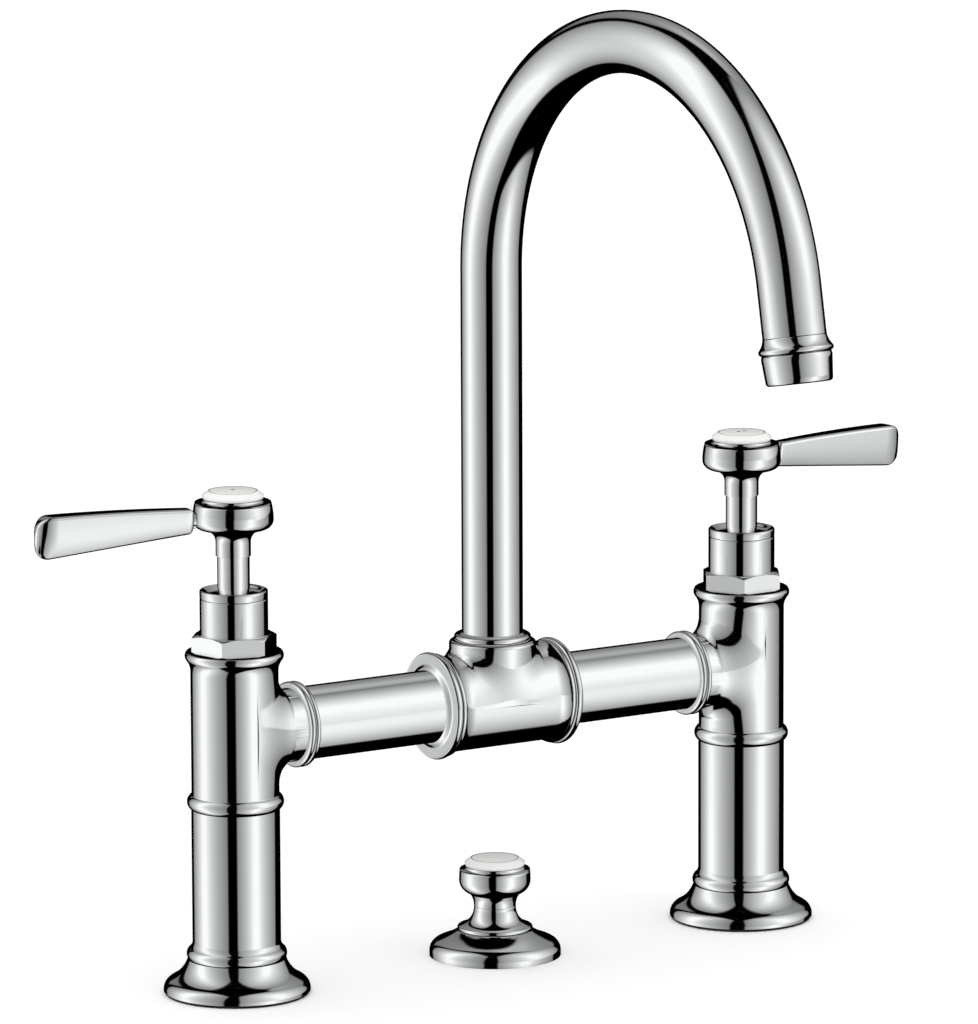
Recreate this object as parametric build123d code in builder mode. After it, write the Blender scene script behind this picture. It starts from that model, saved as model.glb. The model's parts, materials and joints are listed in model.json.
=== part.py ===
from build123d import *
import os
from math import asin, cos, degrees, radians, sin

# Deck-mounted bridge basin mixer with a swivel swan-neck spout, two quarter-turn
# levers and a pull knob for the pop-up waste. Millimetres. The deck's top is z = 0,
# the bridge runs along X, the user stands on the -Y side and +Z is up.
# The cold pillar stands on the -X side and the hot pillar on the +X side.

os.makedirs("parts", exist_ok=True)

# Layout
pillar_spacing = 210.0
bridge_height = 92.0
deck_thickness = 20.0

# Clearances, all radial unless the name says otherwise
running_gap = 0.05
thread_gap = 0.03
washer_gap = 0.15
lift_gap = 0.05
disc_film = 0.02

# Threaded shank through the deck, with its narrower inlet end
shank_radius = 10.48
shank_bore = 7.0
shank_engagement = 14.0
shank_tail = 18.0
inlet_radius = 8.33
inlet_length = 14.0
inlet_bore = 5.6

# Fixings under the deck
seal_radius = 19.0
seal_thickness = 3.0
washer_radius = 18.0
washer_thickness = 1.6
backnut_flats = 30.0
backnut_height = 9.0

# Foot flange on its gasket
gasket_radius = 24.8
gasket_bore = 20.0
gasket_thickness = 1.0
flange_radius = 25.5
flange_height = 11.3
flange_rim = 0.5
flange_shoulder_drop = 2.25
flange_shoulder_height = 3.65
flange_neck_radius = 17.1
flange_wall = 3.0

# Stand tube between the flange and the valve body
stand_radius = 15.35
stand_bore = 12.4
stand_bead_radius = 17.4
stand_bead_height = 3.6
stand_bead_fade = 2.6
stand_spigot_radius = 13.2
stand_spigot_length = 9.0

# Valve body
body_radius = 15.2
body_bead_radius = 16.8
body_bead_height = 5.2
body_drop = 26.8
body_rise = 28.5
lip_radius = 17.1
lip_height = 2.9
flare_height = 4.0
flare_reach = 1.4
branch_radius = 12.8
branch_reach = 24.1
branch_fillet = 4.0
port_bore = 7.0
seat_drop = 8.0
seat_bore = 6.0
chamber_radius = 11.4
barrel_thread_length = 12.0

# Bridge arms and their rings
arm_bore = 9.0
arm_spigot_radius = 11.5
arm_spigot_length = 8.0
arm_seal_width = 1.8
arm_seal_depth = 1.1
arm_seal_inset = 3.0
port_ring_radius = 15.0
port_ring_width = 4.0
tee_ring_radius = 18.9
tee_ring_rim = 2.5
tee_ring_face_radius = 15.1
tee_ring_hub_height = 1.1

# Tee
tee_radius = 16.9
tee_lip_radius = 18.3
tee_lip_width = 1.6
tee_lip_flare = 4.2
tee_end = 23.3
tee_ring_gap = 0.2
socket_end_wall = 3.0
socket_end_gap = 0.3
neck_radius = 15.3
neck_rise = 21.2
neck_rounding = 1.3
neck_fillet = 3.4

# Spout swivel
spigot_radius = 10.95
spigot_bore = 8.0
spigot_length = 11.2
spigot_tail = 8.0
bearing_thickness = 0.3
collar_radius = 13.5
collar_height = 1.9
collar_step = 0.5
collar_step_radius = 11.6
swivel_limit = 60.0
stop_width = 2.8
stop_depth = 1.6
stop_place = 2.9
stop_pin_radius = 1.2
stop_pin_reach = 1.1
grub_radius = 2.0
grub_recess = 0.5
spout_seal_width = 1.5
spout_seal_depth = 1.5
spout_seal_first = 6.2
spout_seal_pitch = 2.8

# Spout tube
tube_radius = 10.75
tube_wall = 1.2
riser_length = 128.9
bend_radius = 88.0
bend_angle = 169.2
spout_turn = 2.2
tube_end_straight = 17.1

# Outlet
outlet_spigot_length = 6.0
outlet_bead_radius = 12.6
outlet_cone_height = 3.7
outlet_bead_height = 2.0
outlet_groove_radius = 11.75
outlet_thread_radius = 10.5
outlet_thread_length = 4.4
outlet_bore = 8.6
housing_radius = 11.95
housing_end_radius = 11.25
housing_length = 9.8
housing_lip = 2.4
housing_lip_radius = 9.7
insert_flange = 1.4
insert_radius = 9.5
insert_spoke = 0.9

# Headwork
barrel_radius = 9.6
barrel_bore = 8.55
barrel_seat_gap = 1.0
driver_height = 5.91
window_height = 4.0
window_width = 8.0
hex_flats = 26.2
hex_height = 6.2
hex_chamfer_reach = 1.8
hex_chamfer_drop = 1.0
cold_hex_turn = 43.3
hot_hex_turn = 0.5
bonnet_radius = 11.8
bonnet_rise = 18.6
cap_height = 3.0
cap_dish = 1.8
cap_lip = 0.8
cap_spigot_radius = 8.0
cap_spigot_length = 3.0
edge_break = 0.35

# Ceramic discs and seals inside the headwork
seat_seal_radius = 8.3
seat_seal_bore = 5.4
seat_seal_thickness = 2.0
disc_radius = 8.4
disc_thickness = 3.0
water_slot_inner = 2.4
water_slot_outer = 6.8
water_slot_angle = 76.0
drive_length = 9.0
drive_width = 2.6
drive_depth = 1.4

# Spindle and its sleeve
spindle_radius = 4.5
driver_radius = 6.4
spindle_seal_width = 1.5
spindle_seal_depth = 1.2
spindle_seal_drop = 8.5
square_size = 6.2
square_length = 8.0
sleeve_radius = 5.62
sleeve_taper_height = 2.6
sleeve_taper_radius = 5.2
sleeve_lift = 0.2
stem_rise = 11.9

# Handles
neck_sleeve_radius = 6.1
hub_neck_height = 4.8
hub_flare_height = 3.6
hub_flare_radius = 8.2
hub_foot_rise = 9.4
hub_foot_radius = 10.4
hub_radius = 14.0
hub_widest_rise = 12.6
hub_height = 19.9
hub_top_radius = 13.2
seat_ring_radius = 10.9
seat_step = 1.15
cold_lever_turn = 11.5
hot_lever_turn = 4.7
lever_length = 71.5
lever_tip_bulge = 1.6
lever_root = 10.5
lever_shoulder_gap = 1.3
lever_neck_step = 1.2
lever_shoulder_rounding = 0.9
lever_top_bow = 0.5
lever_root_drop = 2.5
lever_root_depth = 8.9
lever_tip_drop = 1.7
lever_tip_depth = 15.4
lever_tip_rounding = 5.0
lever_root_thickness = 6.4
lever_tip_thickness = 8.8
lever_edge = 2.6
lever_stud_drop = 7.0
lever_stud_radius = 2.0
lever_stud_length = 5.0
screw_radius = 2.0
screw_length = 11.0
screw_head_radius = 3.6
screw_head_height = 2.6
screw_web = 2.4

# Porcelain index discs
index_radius = 10.65
index_foot_radius = 10.35
index_side_height = 1.2
index_face_radius = 8.8
index_height = 3.05
index_crown = 0.35
index_plug_radius = 9.0
index_plug_depth = 1.6

# Pop-up waste knob
knob_place = (0.0, -1.0)
rosette_radius = 23.2
rosette_height = 9.3
rosette_rim = 1.7
rosette_shoulder_drop = 2.7
rosette_shoulder_height = 3.8
rosette_neck_radius = 13.0
rosette_wall = 2.4
guide_flange_radius = 13.3
guide_flange_height = 1.3
guide_bell_reach = 5.55
guide_bell_height = 6.7
guide_collar_radius = 7.4
guide_top = 17.8
guide_radius = 6.0
guide_tail = 14.0
guide_nut_flats = 19.0
guide_nut_height = 6.0
guide_nut_flange_radius = 12.0
guide_nut_flange = 1.5
rod_radius = 3.0
rod_guided_tail = 26.0
rod_tail_radius = 2.5
rod_tail_length = 120.0
knob_foot_radius = 7.4
knob_neck_radius = 8.05
knob_neck_height = 2.9
knob_belly_reach = 0.8
knob_belly_lift = 1.5
knob_radius = 12.62
knob_widest_rise = 9.25
knob_height = 14.3
knob_top_radius = 12.4
knob_socket_depth = 9.0

# Places worked out from the sizes above
pillar_offset = pillar_spacing / 2
pillars = GridLocations(pillar_spacing, 0, 2, 1)
stand_top = bridge_height - body_drop
body_top = bridge_height + body_rise
seat_height = bridge_height - seat_drop
neck_top = bridge_height + neck_rise
flange_foot = gasket_thickness
flange_top = flange_foot + flange_height
deck_underside = -deck_thickness
washer_top = deck_underside - seal_thickness
backnut_top = washer_top - washer_thickness
shank_end = deck_underside - shank_tail
shank_top = flange_top + shank_engagement
thread_bore = shank_radius + thread_gap
stand_thread_top = shank_top + 1.0
barrel_thread_foot = body_top - barrel_thread_length
tee_ring_foot = tee_end + tee_ring_gap
tee_ring_edge = tee_ring_foot + tee_ring_rim
arm_outer_end = pillar_offset - branch_reach
arm_socket_radius = arm_spigot_radius + thread_gap
neck_bore = spigot_radius + running_gap
tee_socket_floor = neck_bore + socket_end_wall
arm_inner_end = tee_socket_floor + socket_end_gap
arm_seal_place = tee_socket_floor + arm_seal_inset
collar_foot = neck_top + bearing_thickness
collar_top = collar_foot + collar_height
tube_foot = collar_top + collar_step
tube_bore = tube_radius - tube_wall
riser_top = tube_foot + riser_length
stop_centre = collar_foot - stop_place
bend = radians(bend_angle)
spout_reach = bend_radius * (1 - cos(bend)) + tube_end_straight * sin(bend)
tube_end_z = riser_top + bend_radius * sin(bend) + tube_end_straight * cos(bend)
spout_x = sin(radians(spout_turn))
spout_y = -cos(radians(spout_turn))
tube_end = (spout_x * spout_reach, spout_y * spout_reach, tube_end_z)
flow = (spout_x * sin(bend), spout_y * sin(bend), cos(bend))
housing_start = outlet_cone_height + outlet_bead_height + edge_break
thread_end = housing_start + outlet_thread_length
lip_start = housing_start + housing_length - housing_lip
fixed_disc_foot = seat_height + seat_seal_thickness
moving_disc_foot = fixed_disc_foot + disc_thickness + disc_film
driver_foot = moving_disc_foot + disc_thickness + disc_film
barrel_foot = seat_height + barrel_seat_gap
barrel_inner_top = driver_foot + driver_height + lift_gap
spindle_bore = spindle_radius + running_gap
spindle_seal_place = body_top - spindle_seal_drop
bonnet_top = body_top + bonnet_rise
cap_top = bonnet_top + cap_height
dish_floor = cap_top - cap_dish
seam_height = cap_top + stem_rise
square_top = seam_height + square_length
hub_foot = seam_height + hub_foot_rise
hub_widest = seam_height + hub_widest_rise
hub_top = seam_height + hub_height
lever_root_top = hub_top - lever_root_drop
lever_root_bottom = lever_root_top - lever_root_depth
lever_tip_top = hub_top - lever_tip_drop
lever_tip_bottom = lever_tip_top - lever_tip_depth
lever_stud_height = hub_top - lever_stud_drop
screw_head_foot = square_top + screw_web
head_bore_radius = screw_head_radius + washer_gap
knob_foot = guide_top + lift_gap
knob_neck_top = knob_foot + knob_neck_height
knob_belly_foot = knob_neck_top + knob_belly_lift
knob_widest = knob_foot + knob_widest_rise
knob_top = knob_foot + knob_height
rod_top = knob_foot + knob_socket_depth
guide_foot = deck_underside - guide_tail
rod_shoulder = guide_foot - rod_guided_tail

sides = (("cold", -1, cold_hex_turn), ("hot", 1, hot_hex_turn))


# Planes and axes
def upright(x, y=0.0, turn=0.0):
    """Plane through a vertical axis: radius runs across it and height up it."""
    angle = radians(turn)
    across = (cos(angle), sin(angle), 0)
    return Plane(origin=(x, y, 0), x_dir=across, z_dir=(sin(angle), -cos(angle), 0))


def vertical(x, y=0.0):
    return Axis((x, y, 0), (0, 0, 1))


def level(x, height, turn=0.0, y=0.0):
    """Level plane on a vertical axis, turned about it by some degrees."""
    angle = radians(turn)
    return Plane(origin=(x, y, height), x_dir=(cos(angle), sin(angle), 0))


def along_bridge(side):
    """Plane through the bridge axis: distance from the middle runs across it."""
    return Plane(origin=(0, 0, bridge_height), x_dir=(side, 0, 0), z_dir=(0, -side, 0))


def across_bridge(side, distance):
    """Plane square to the bridge axis, facing away from the middle."""
    return Plane(origin=(side * distance, 0, bridge_height), z_dir=(side, 0, 0))


bridge_axis = Axis((0, 0, bridge_height), (1, 0, 0))
spout_side = (-spout_y, spout_x, 0)
spout_plane = Plane(origin=(0, 0, 0), x_dir=(spout_x, spout_y, 0), z_dir=(spout_y, -spout_x, 0))
outlet_axis = Axis(tube_end, flow)
outlet_plane = Plane(
    origin=tube_end,
    x_dir=spout_side,
    z_dir=Vector(*spout_side).cross(Vector(*flow)),
)


def outlet_section(distance):
    """Plane square to the outlet's axis, facing along the flow."""
    place = tuple(start + distance * part for start, part in zip(tube_end, flow))
    return Plane(origin=place, x_dir=spout_side, z_dir=flow)


def keep(piece, name):
    """Label a finished piece and write its STEP file."""
    piece.part.label = name
    export_step(piece.part, f"parts/{name}.step")


# Fixings shared by the two pillars
def deck_ring(name, foot, thickness, outer, inner):
    """A flat ring under each pillar."""
    with BuildPart() as ring:
        with BuildSketch(Plane.XY.offset(foot)):
            with pillars:
                Circle(outer)
                Circle(inner, mode=Mode.SUBTRACT)
        extrude(amount=thickness)
    keep(ring, name)


def backnuts():
    with BuildPart() as nuts:
        with BuildSketch(Plane.XY.offset(backnut_top - backnut_height)):
            with pillars:
                RegularPolygon(backnut_flats / 2, 6, major_radius=False)
                Circle(thread_bore, mode=Mode.SUBTRACT)
        extrude(amount=backnut_height)
        chamfer(nuts.faces().sort_by(Axis.Z)[:2].edges().filter_by(GeomType.LINE), length=1.0)
    keep(nuts, "backnuts")


# Pillars
def shank(name, side):
    """Threaded tail, drawn at its major diameter, with a narrower inlet end."""
    x = side * pillar_offset
    end = shank_end - inlet_length
    with BuildPart() as piece:
        with BuildSketch(upright(x)):
            with BuildLine():
                Polyline(
                    (shank_bore, shank_top),
                    (shank_radius, shank_top),
                    (shank_radius, shank_end),
                    (inlet_radius, shank_end),
                    (inlet_radius, end),
                    (inlet_bore, end),
                    (inlet_bore, shank_end),
                    (shank_bore, shank_end + shank_bore - inlet_bore),
                    close=True,
                )
            make_face()
        revolve(axis=vertical(x))
    keep(piece, name)


def bell_cover(name, place, foot, rim, shoulder, neck, bore, wall):
    """Hollow bell: an upright rim, a rounded shoulder and a sweep in to the neck."""
    rim_radius, rim_top = rim
    shoulder_radius, shoulder_top = shoulder
    neck_radius_here, top = neck
    with BuildPart() as piece:
        with BuildSketch(upright(*place)):
            with BuildLine():
                edge = Line((rim_radius, foot), (rim_radius, rim_top))
                turn = TangentArc(edge @ 1, (shoulder_radius, shoulder_top), tangent=(0, 1))
                sweep_in = TangentArc(turn @ 1, (neck_radius_here, top), tangent=turn % 1)
                Polyline(
                    sweep_in @ 1,
                    (bore, top),
                    (bore, top - wall),
                    (neck_radius_here - wall, top - wall),
                    (shoulder_radius - wall, rim_top + wall / 2),
                    (rim_radius - wall * 1.5, foot),
                    edge @ 0,
                )
            make_face()
        revolve(axis=vertical(*place))
    keep(piece, name)


def base_flange(name, side):
    """Bell flange that covers the hole in the deck and carries the stand tube."""
    rim_top = flange_foot + flange_rim
    bell_cover(
        name,
        place=(side * pillar_offset, 0),
        foot=flange_foot,
        rim=(flange_radius, rim_top),
        shoulder=(flange_radius - flange_shoulder_drop, rim_top + flange_shoulder_height),
        neck=(flange_neck_radius, flange_top),
        bore=shank_radius + washer_gap,
        wall=flange_wall,
    )


def stand_tube(name, side):
    """Tube that stands on the flange: beaded foot, threaded socket, spigot on top."""
    x = side * pillar_offset
    bead_top = flange_top + stand_bead_height
    fade_top = bead_top + stand_bead_fade
    spigot_top = stand_top + stand_spigot_length
    with BuildPart() as piece:
        with BuildSketch(upright(x)):
            with BuildLine():
                bead = ThreePointArc(
                    (flange_neck_radius - edge_break, flange_top),
                    (stand_bead_radius, flange_top + stand_bead_height * 0.42),
                    ((stand_bead_radius + stand_radius) / 2 + edge_break, bead_top),
                )
                fade = TangentArc((stand_radius, fade_top), bead @ 1, tangent=(0, -1))
                Polyline(
                    fade @ 0,
                    (stand_radius, stand_top),
                    (stand_spigot_radius, stand_top),
                    (stand_spigot_radius, spigot_top),
                    (stand_bore, spigot_top),
                    (stand_bore, stand_thread_top),
                    (thread_bore, stand_thread_top),
                    (thread_bore, flange_top),
                    bead @ 0,
                )
            make_face()
        revolve(axis=vertical(x))
    keep(piece, name)


def valve_body(name, side):
    """Valve body: beaded foot, side branch for the bridge, flared lip and inner seat."""
    x = side * pillar_offset
    lip_foot = body_top - lip_height
    lip_side = body_radius + flare_reach
    bead_top = stand_top + body_bead_height
    inward = Plane(origin=(x, 0, bridge_height), z_dir=(-side, 0, 0))
    with BuildPart() as piece:
        with BuildSketch(upright(x)):
            with BuildLine():
                bead = ThreePointArc(
                    (stand_radius, stand_top),
                    (body_bead_radius, stand_top + body_bead_height / 2),
                    (body_radius, bead_top),
                )
                wall = Line(bead @ 1, (body_radius, lip_foot - flare_height))
                flare = TangentArc(wall @ 1, (lip_side, lip_foot), tangent=(0, 1))
                lip = ThreePointArc(
                    flare @ 1, (lip_radius, body_top - lip_height * 0.4), (lip_side, body_top)
                )
                Polyline(lip @ 1, (0, body_top), (0, stand_top), bead @ 0)
            make_face()
        revolve(axis=vertical(x))
        with BuildSketch(inward):
            Circle(branch_radius)
        extrude(amount=branch_reach)
        junction = piece.edges(Select.NEW).filter_by(GeomType.CIRCLE, reverse=True)
        fillet(junction, radius=branch_fillet)
        with BuildSketch(upright(x)):
            with BuildLine():
                Polyline(
                    (0, stand_top),
                    (stand_spigot_radius + thread_gap, stand_top),
                    (stand_spigot_radius + thread_gap, stand_top + stand_spigot_length),
                    (stand_bore, stand_top + stand_spigot_length),
                    (seat_bore, seat_height - 2.0),
                    (seat_bore, seat_height),
                    (chamber_radius, seat_height),
                    (chamber_radius, barrel_thread_foot),
                    (thread_bore, barrel_thread_foot),
                    (thread_bore, body_top),
                    (0, body_top),
                    close=True,
                )
            make_face()
        revolve(axis=vertical(x), mode=Mode.SUBTRACT)
        with BuildSketch(inward):
            Circle(port_bore)
        extrude(amount=branch_reach, mode=Mode.SUBTRACT)
        with BuildSketch(inward.offset(branch_reach - arm_spigot_length)):
            Circle(arm_socket_radius)
        extrude(amount=arm_spigot_length, mode=Mode.SUBTRACT)
    keep(piece, name)


# Bridge
def port_ring(name, side):
    """Twin-beaded ring over the joint between a branch and its arm."""
    inner = arm_outer_end - port_ring_width / 2
    middle = arm_outer_end
    outer = arm_outer_end + port_ring_width / 2
    valley = (port_ring_radius + branch_radius) / 2
    bore = branch_radius + thread_gap
    with BuildPart() as piece:
        with BuildSketch(along_bridge(side)):
            with BuildLine():
                first = ThreePointArc(
                    (inner, valley), ((inner + middle) / 2, port_ring_radius), (middle, valley)
                )
                second = ThreePointArc(
                    first @ 1, ((middle + outer) / 2, port_ring_radius), (outer, valley)
                )
                Polyline(second @ 1, (outer, bore), (inner, bore), first @ 0)
            make_face()
        revolve(axis=bridge_axis)
    keep(piece, name)


def bridge_arm(name, side):
    """Arm tube with a spigot at each end and a seal groove on the inner one."""
    groove_floor = arm_spigot_radius - arm_seal_depth
    with BuildPart() as piece:
        with BuildSketch(along_bridge(side)):
            with BuildLine():
                Polyline(
                    (arm_inner_end, arm_bore),
                    (arm_inner_end, arm_spigot_radius),
                    (arm_seal_place, arm_spigot_radius),
                    (arm_seal_place, groove_floor),
                    (arm_seal_place + arm_seal_width, groove_floor),
                    (arm_seal_place + arm_seal_width, arm_spigot_radius),
                    (tee_end, arm_spigot_radius),
                    (tee_end, branch_radius),
                    (arm_outer_end, branch_radius),
                    (arm_outer_end, arm_spigot_radius),
                    (arm_outer_end + arm_spigot_length, arm_spigot_radius),
                    (arm_outer_end + arm_spigot_length, arm_bore),
                    close=True,
                )
            make_face()
        revolve(axis=bridge_axis)
    keep(piece, name)


def arm_seals():
    """A square-section sealing ring in the groove of each arm."""
    with BuildPart() as seals:
        for _, side, _ in sides:
            with BuildSketch(across_bridge(side, arm_seal_place)):
                Circle(arm_socket_radius)
                Circle(arm_spigot_radius - arm_seal_depth, mode=Mode.SUBTRACT)
            extrude(amount=arm_seal_width)
    keep(seals, "arm_seals")


def tee_ring(name, side):
    """Cupped ring where an arm enters the tee: rounded rim, face and raised hub."""
    bore = branch_radius + thread_gap
    hub_edge = tee_ring_edge + tee_ring_hub_height
    with BuildPart() as piece:
        with BuildSketch(along_bridge(side)):
            with BuildLine():
                rim = ThreePointArc(
                    (tee_ring_foot, tee_lip_radius),
                    ((tee_ring_foot + tee_ring_edge) / 2, tee_ring_radius),
                    (tee_ring_edge, tee_lip_radius),
                )
                Polyline(
                    rim @ 1,
                    (tee_ring_edge - edge_break, tee_lip_radius - edge_break * 2),
                    (tee_ring_edge - edge_break, tee_ring_face_radius),
                    (hub_edge, bore + edge_break),
                    (hub_edge, bore),
                    (tee_ring_foot, bore),
                    rim @ 0,
                )
            make_face()
        revolve(axis=bridge_axis)
    keep(piece, name)


def tee_body():
    """Tee: lipped ends, a filleted neck for the spout and two arm sockets."""
    lip_foot = tee_end - tee_lip_width
    flare_foot = lip_foot - tee_lip_flare
    lip_side = tee_lip_radius - edge_break
    neck_floor = collar_foot - spigot_length - thread_gap
    with BuildPart() as tee:
        with BuildSketch(along_bridge(1)):
            with BuildLine():
                half = Line((0, tee_radius), (flare_foot, tee_radius))
                flare = TangentArc(half @ 1, (lip_foot, lip_side), tangent=(1, 0))
                lip = ThreePointArc(
                    flare @ 1, ((lip_foot + tee_end) / 2, tee_lip_radius), (tee_end, lip_side)
                )
                Polyline(lip @ 1, (tee_end, 0), (0, 0), half @ 0)
            make_face()
        revolve(axis=bridge_axis)
        mirror(about=Plane.YZ)
        with BuildSketch(Plane.XY.offset(bridge_height)):
            Circle(neck_radius)
        extrude(amount=neck_top - bridge_height)
        root = tee.edges(Select.NEW).filter_by(GeomType.CIRCLE, reverse=True)
        fillet(root, radius=neck_fillet)
        crown = tee.edges().filter_by(GeomType.CIRCLE).sort_by(Axis.Z)[-1]
        fillet(crown, radius=neck_rounding)
        with BuildSketch(Plane.XY.offset(neck_top)):
            Circle(neck_bore)
        extrude(amount=neck_floor - neck_top, mode=Mode.SUBTRACT)
        with BuildSketch(Plane.XY.offset(neck_floor)):
            Circle(spigot_bore)
        extrude(amount=bridge_height - neck_floor, mode=Mode.SUBTRACT)
        with BuildSketch(across_bridge(-1, tee_end)):
            Circle(arm_bore)
        extrude(amount=-2 * tee_end, mode=Mode.SUBTRACT)
        for _, side, _ in sides:
            with BuildSketch(across_bridge(side, tee_end)):
                Circle(arm_socket_radius)
            extrude(amount=tee_socket_floor - tee_end, mode=Mode.SUBTRACT)
        with BuildSketch(Plane(origin=(0, neck_radius + 1.0, stop_centre), z_dir=(0, 1, 0))):
            Circle(grub_radius + thread_gap)
        extrude(amount=neck_bore - 2.0 - neck_radius, mode=Mode.SUBTRACT)
    keep(tee, "tee_body")


# Spout
def spout_grub_screw():
    """Screw in the back of the neck: its tip runs in the spigot's stop groove."""
    head = neck_radius - grub_recess
    with BuildPart() as screw:
        with BuildSketch(Plane(origin=(0, head, stop_centre), z_dir=(0, 1, 0))):
            Circle(grub_radius)
            RegularPolygon(grub_radius * 0.5, 6, mode=Mode.SUBTRACT)
        extrude(amount=-grub_radius)
        with BuildSketch(Plane(origin=(0, head - grub_radius, stop_centre), z_dir=(0, 1, 0))):
            Circle(grub_radius)
        extrude(amount=-(head - grub_radius - neck_bore - edge_break))
        with BuildSketch(Plane(origin=(0, neck_bore + edge_break, stop_centre), z_dir=(0, 1, 0))):
            Circle(stop_pin_radius)
        extrude(amount=-(edge_break + stop_pin_reach))
    keep(screw, "spout_grub_screw")


def spout_spigot():
    """Swivel spigot: seal grooves, a stop groove over part of its turn and a collar."""
    foot = collar_foot - spigot_length
    stop_floor = spigot_radius - stop_depth
    pin_angle = degrees(asin(stop_pin_radius / stop_floor))
    stop_sweep = 2 * (swivel_limit + pin_angle + 1.0)
    tail = tube_foot + spigot_tail
    with BuildPart() as spigot:
        with BuildSketch(upright(0)):
            with BuildLine():
                collar = ThreePointArc(
                    (collar_radius - edge_break, collar_foot),
                    (collar_radius, collar_foot + collar_height * 0.4),
                    (collar_radius - collar_height * 0.6, collar_top),
                )
                Polyline(
                    collar @ 1,
                    (collar_step_radius, collar_top),
                    (collar_step_radius - edge_break, tube_foot),
                    (tube_bore - thread_gap, tube_foot),
                    (tube_bore - thread_gap, tail),
                    (spigot_bore, tail),
                    (spigot_bore, foot),
                    (spigot_radius, foot),
                    (spigot_radius, collar_foot),
                    collar @ 0,
                )
            make_face()
        revolve(axis=vertical(0))
        for index in range(2):
            top = collar_foot - spout_seal_first - index * spout_seal_pitch
            with BuildSketch(Plane.XY.offset(top)):
                Circle(spigot_radius + 1.0)
                Circle(spigot_radius - spout_seal_depth, mode=Mode.SUBTRACT)
            extrude(amount=-spout_seal_width, mode=Mode.SUBTRACT)
        with BuildSketch(upright(0, turn=90.0 - stop_sweep / 2)):
            with Locations((stop_floor + stop_depth, stop_centre)):
                Rectangle(stop_depth * 2, stop_width)
        revolve(axis=vertical(0), revolution_arc=stop_sweep, mode=Mode.SUBTRACT)
    keep(spigot, "spout_spigot")


def spout_bearing():
    """Thin slip washer between the collar and the neck."""
    with BuildPart() as bearing:
        with BuildSketch(Plane.XY.offset(neck_top)):
            Circle(collar_radius - edge_break)
            Circle(neck_bore, mode=Mode.SUBTRACT)
        extrude(amount=bearing_thickness)
    keep(bearing, "spout_bearing")


def spout_seals():
    """Two sealing rings round the spigot."""
    with BuildPart() as seals:
        for index in range(2):
            top = collar_foot - spout_seal_first - index * spout_seal_pitch
            with BuildSketch(Plane.XY.offset(top)):
                Circle(spigot_radius)
                Circle(spigot_radius - spout_seal_depth, mode=Mode.SUBTRACT)
            extrude(amount=-spout_seal_width)
    keep(seals, "spout_seals")


def spout_tube():
    """Swan-neck tube: straight riser, one wide bend and a short straight end."""
    with BuildPart() as tube:
        with BuildLine(spout_plane) as path:
            riser = Line((0, tube_foot), (0, riser_top))
            swan = JernArc(riser @ 1, riser % 1, bend_radius, -bend_angle)
            PolarLine(swan @ 1, tube_end_straight, direction=swan % 1)
        with BuildSketch(Plane.XY.offset(tube_foot)):
            Circle(tube_radius)
            Circle(tube_bore, mode=Mode.SUBTRACT)
        sweep(path=path.wires()[0])
    keep(tube, "spout_tube")


def outlet_socket():
    """Outlet socket brazed into the tube: flared cone, bead and a thread below."""
    bead_start = (outlet_bead_radius - edge_break, outlet_cone_height)
    with BuildPart() as socket:
        with BuildSketch(outlet_plane):
            with BuildLine():
                cone = TangentArc((tube_radius, 0), bead_start, tangent=(0.1, 1))
                bead = ThreePointArc(
                    cone @ 1,
                    (outlet_bead_radius, outlet_cone_height + outlet_bead_height * 0.35),
                    (outlet_groove_radius, outlet_cone_height + outlet_bead_height),
                )
                Polyline(
                    bead @ 1,
                    (outlet_groove_radius, housing_start),
                    (outlet_thread_radius, housing_start),
                    (outlet_thread_radius, thread_end),
                    (outlet_bore, thread_end),
                    (outlet_bore, -outlet_spigot_length),
                    (tube_bore - thread_gap, -outlet_spigot_length),
                    (tube_bore - thread_gap, 0),
                    cone @ 0,
                )
            make_face()
        revolve(axis=outlet_axis)
    keep(socket, "outlet_socket")


def aerator_housing():
    """Screwed outlet ring: a slightly tapered sleeve with an inward lip."""
    end = housing_start + housing_length
    bore = outlet_thread_radius + thread_gap
    with BuildPart() as housing:
        with BuildSketch(outlet_plane):
            with BuildLine():
                Polyline(
                    (outlet_groove_radius, housing_start),
                    (housing_radius, housing_start + edge_break * 2),
                    (housing_end_radius, end - edge_break * 2),
                    (housing_end_radius - edge_break * 2, end),
                    (housing_lip_radius, end),
                    (housing_lip_radius, lip_start),
                    (bore, lip_start),
                    (bore, housing_start),
                    close=True,
                )
            make_face()
        revolve(axis=outlet_axis)
    keep(housing, "aerator_housing")


def aerator_insert():
    """Moulded insert: a flange, and a grille of spokes and rings at the mouth."""
    flange_start = lip_start - insert_flange
    mouth = housing_start + housing_length - edge_break * 2
    grille = mouth - housing_lip
    with BuildPart() as insert:
        with BuildSketch(outlet_section(flange_start)):
            Circle(outlet_thread_radius)
            Circle(insert_radius - insert_spoke, mode=Mode.SUBTRACT)
        extrude(amount=insert_flange)
        with BuildSketch(outlet_section(flange_start)):
            Circle(insert_radius)
            Circle(insert_radius - insert_spoke, mode=Mode.SUBTRACT)
        extrude(amount=mouth - flange_start)
        with BuildSketch(outlet_section(grille)):
            Circle(insert_radius * 0.64)
            Circle(insert_radius * 0.64 - insert_spoke, mode=Mode.SUBTRACT)
            with PolarLocations(insert_radius / 2, 6):
                Rectangle(insert_radius - insert_spoke, insert_spoke)
            Circle(insert_radius * 0.24)
        extrude(amount=mouth - grille - edge_break)
    keep(insert, "aerator_insert")


def aerator_seal():
    with BuildPart() as seal:
        with BuildSketch(outlet_section(thread_end)):
            Circle(outlet_thread_radius)
            Circle(outlet_bore, mode=Mode.SUBTRACT)
        extrude(amount=lip_start - insert_flange - thread_end)
    keep(seal, "aerator_seal")


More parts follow.
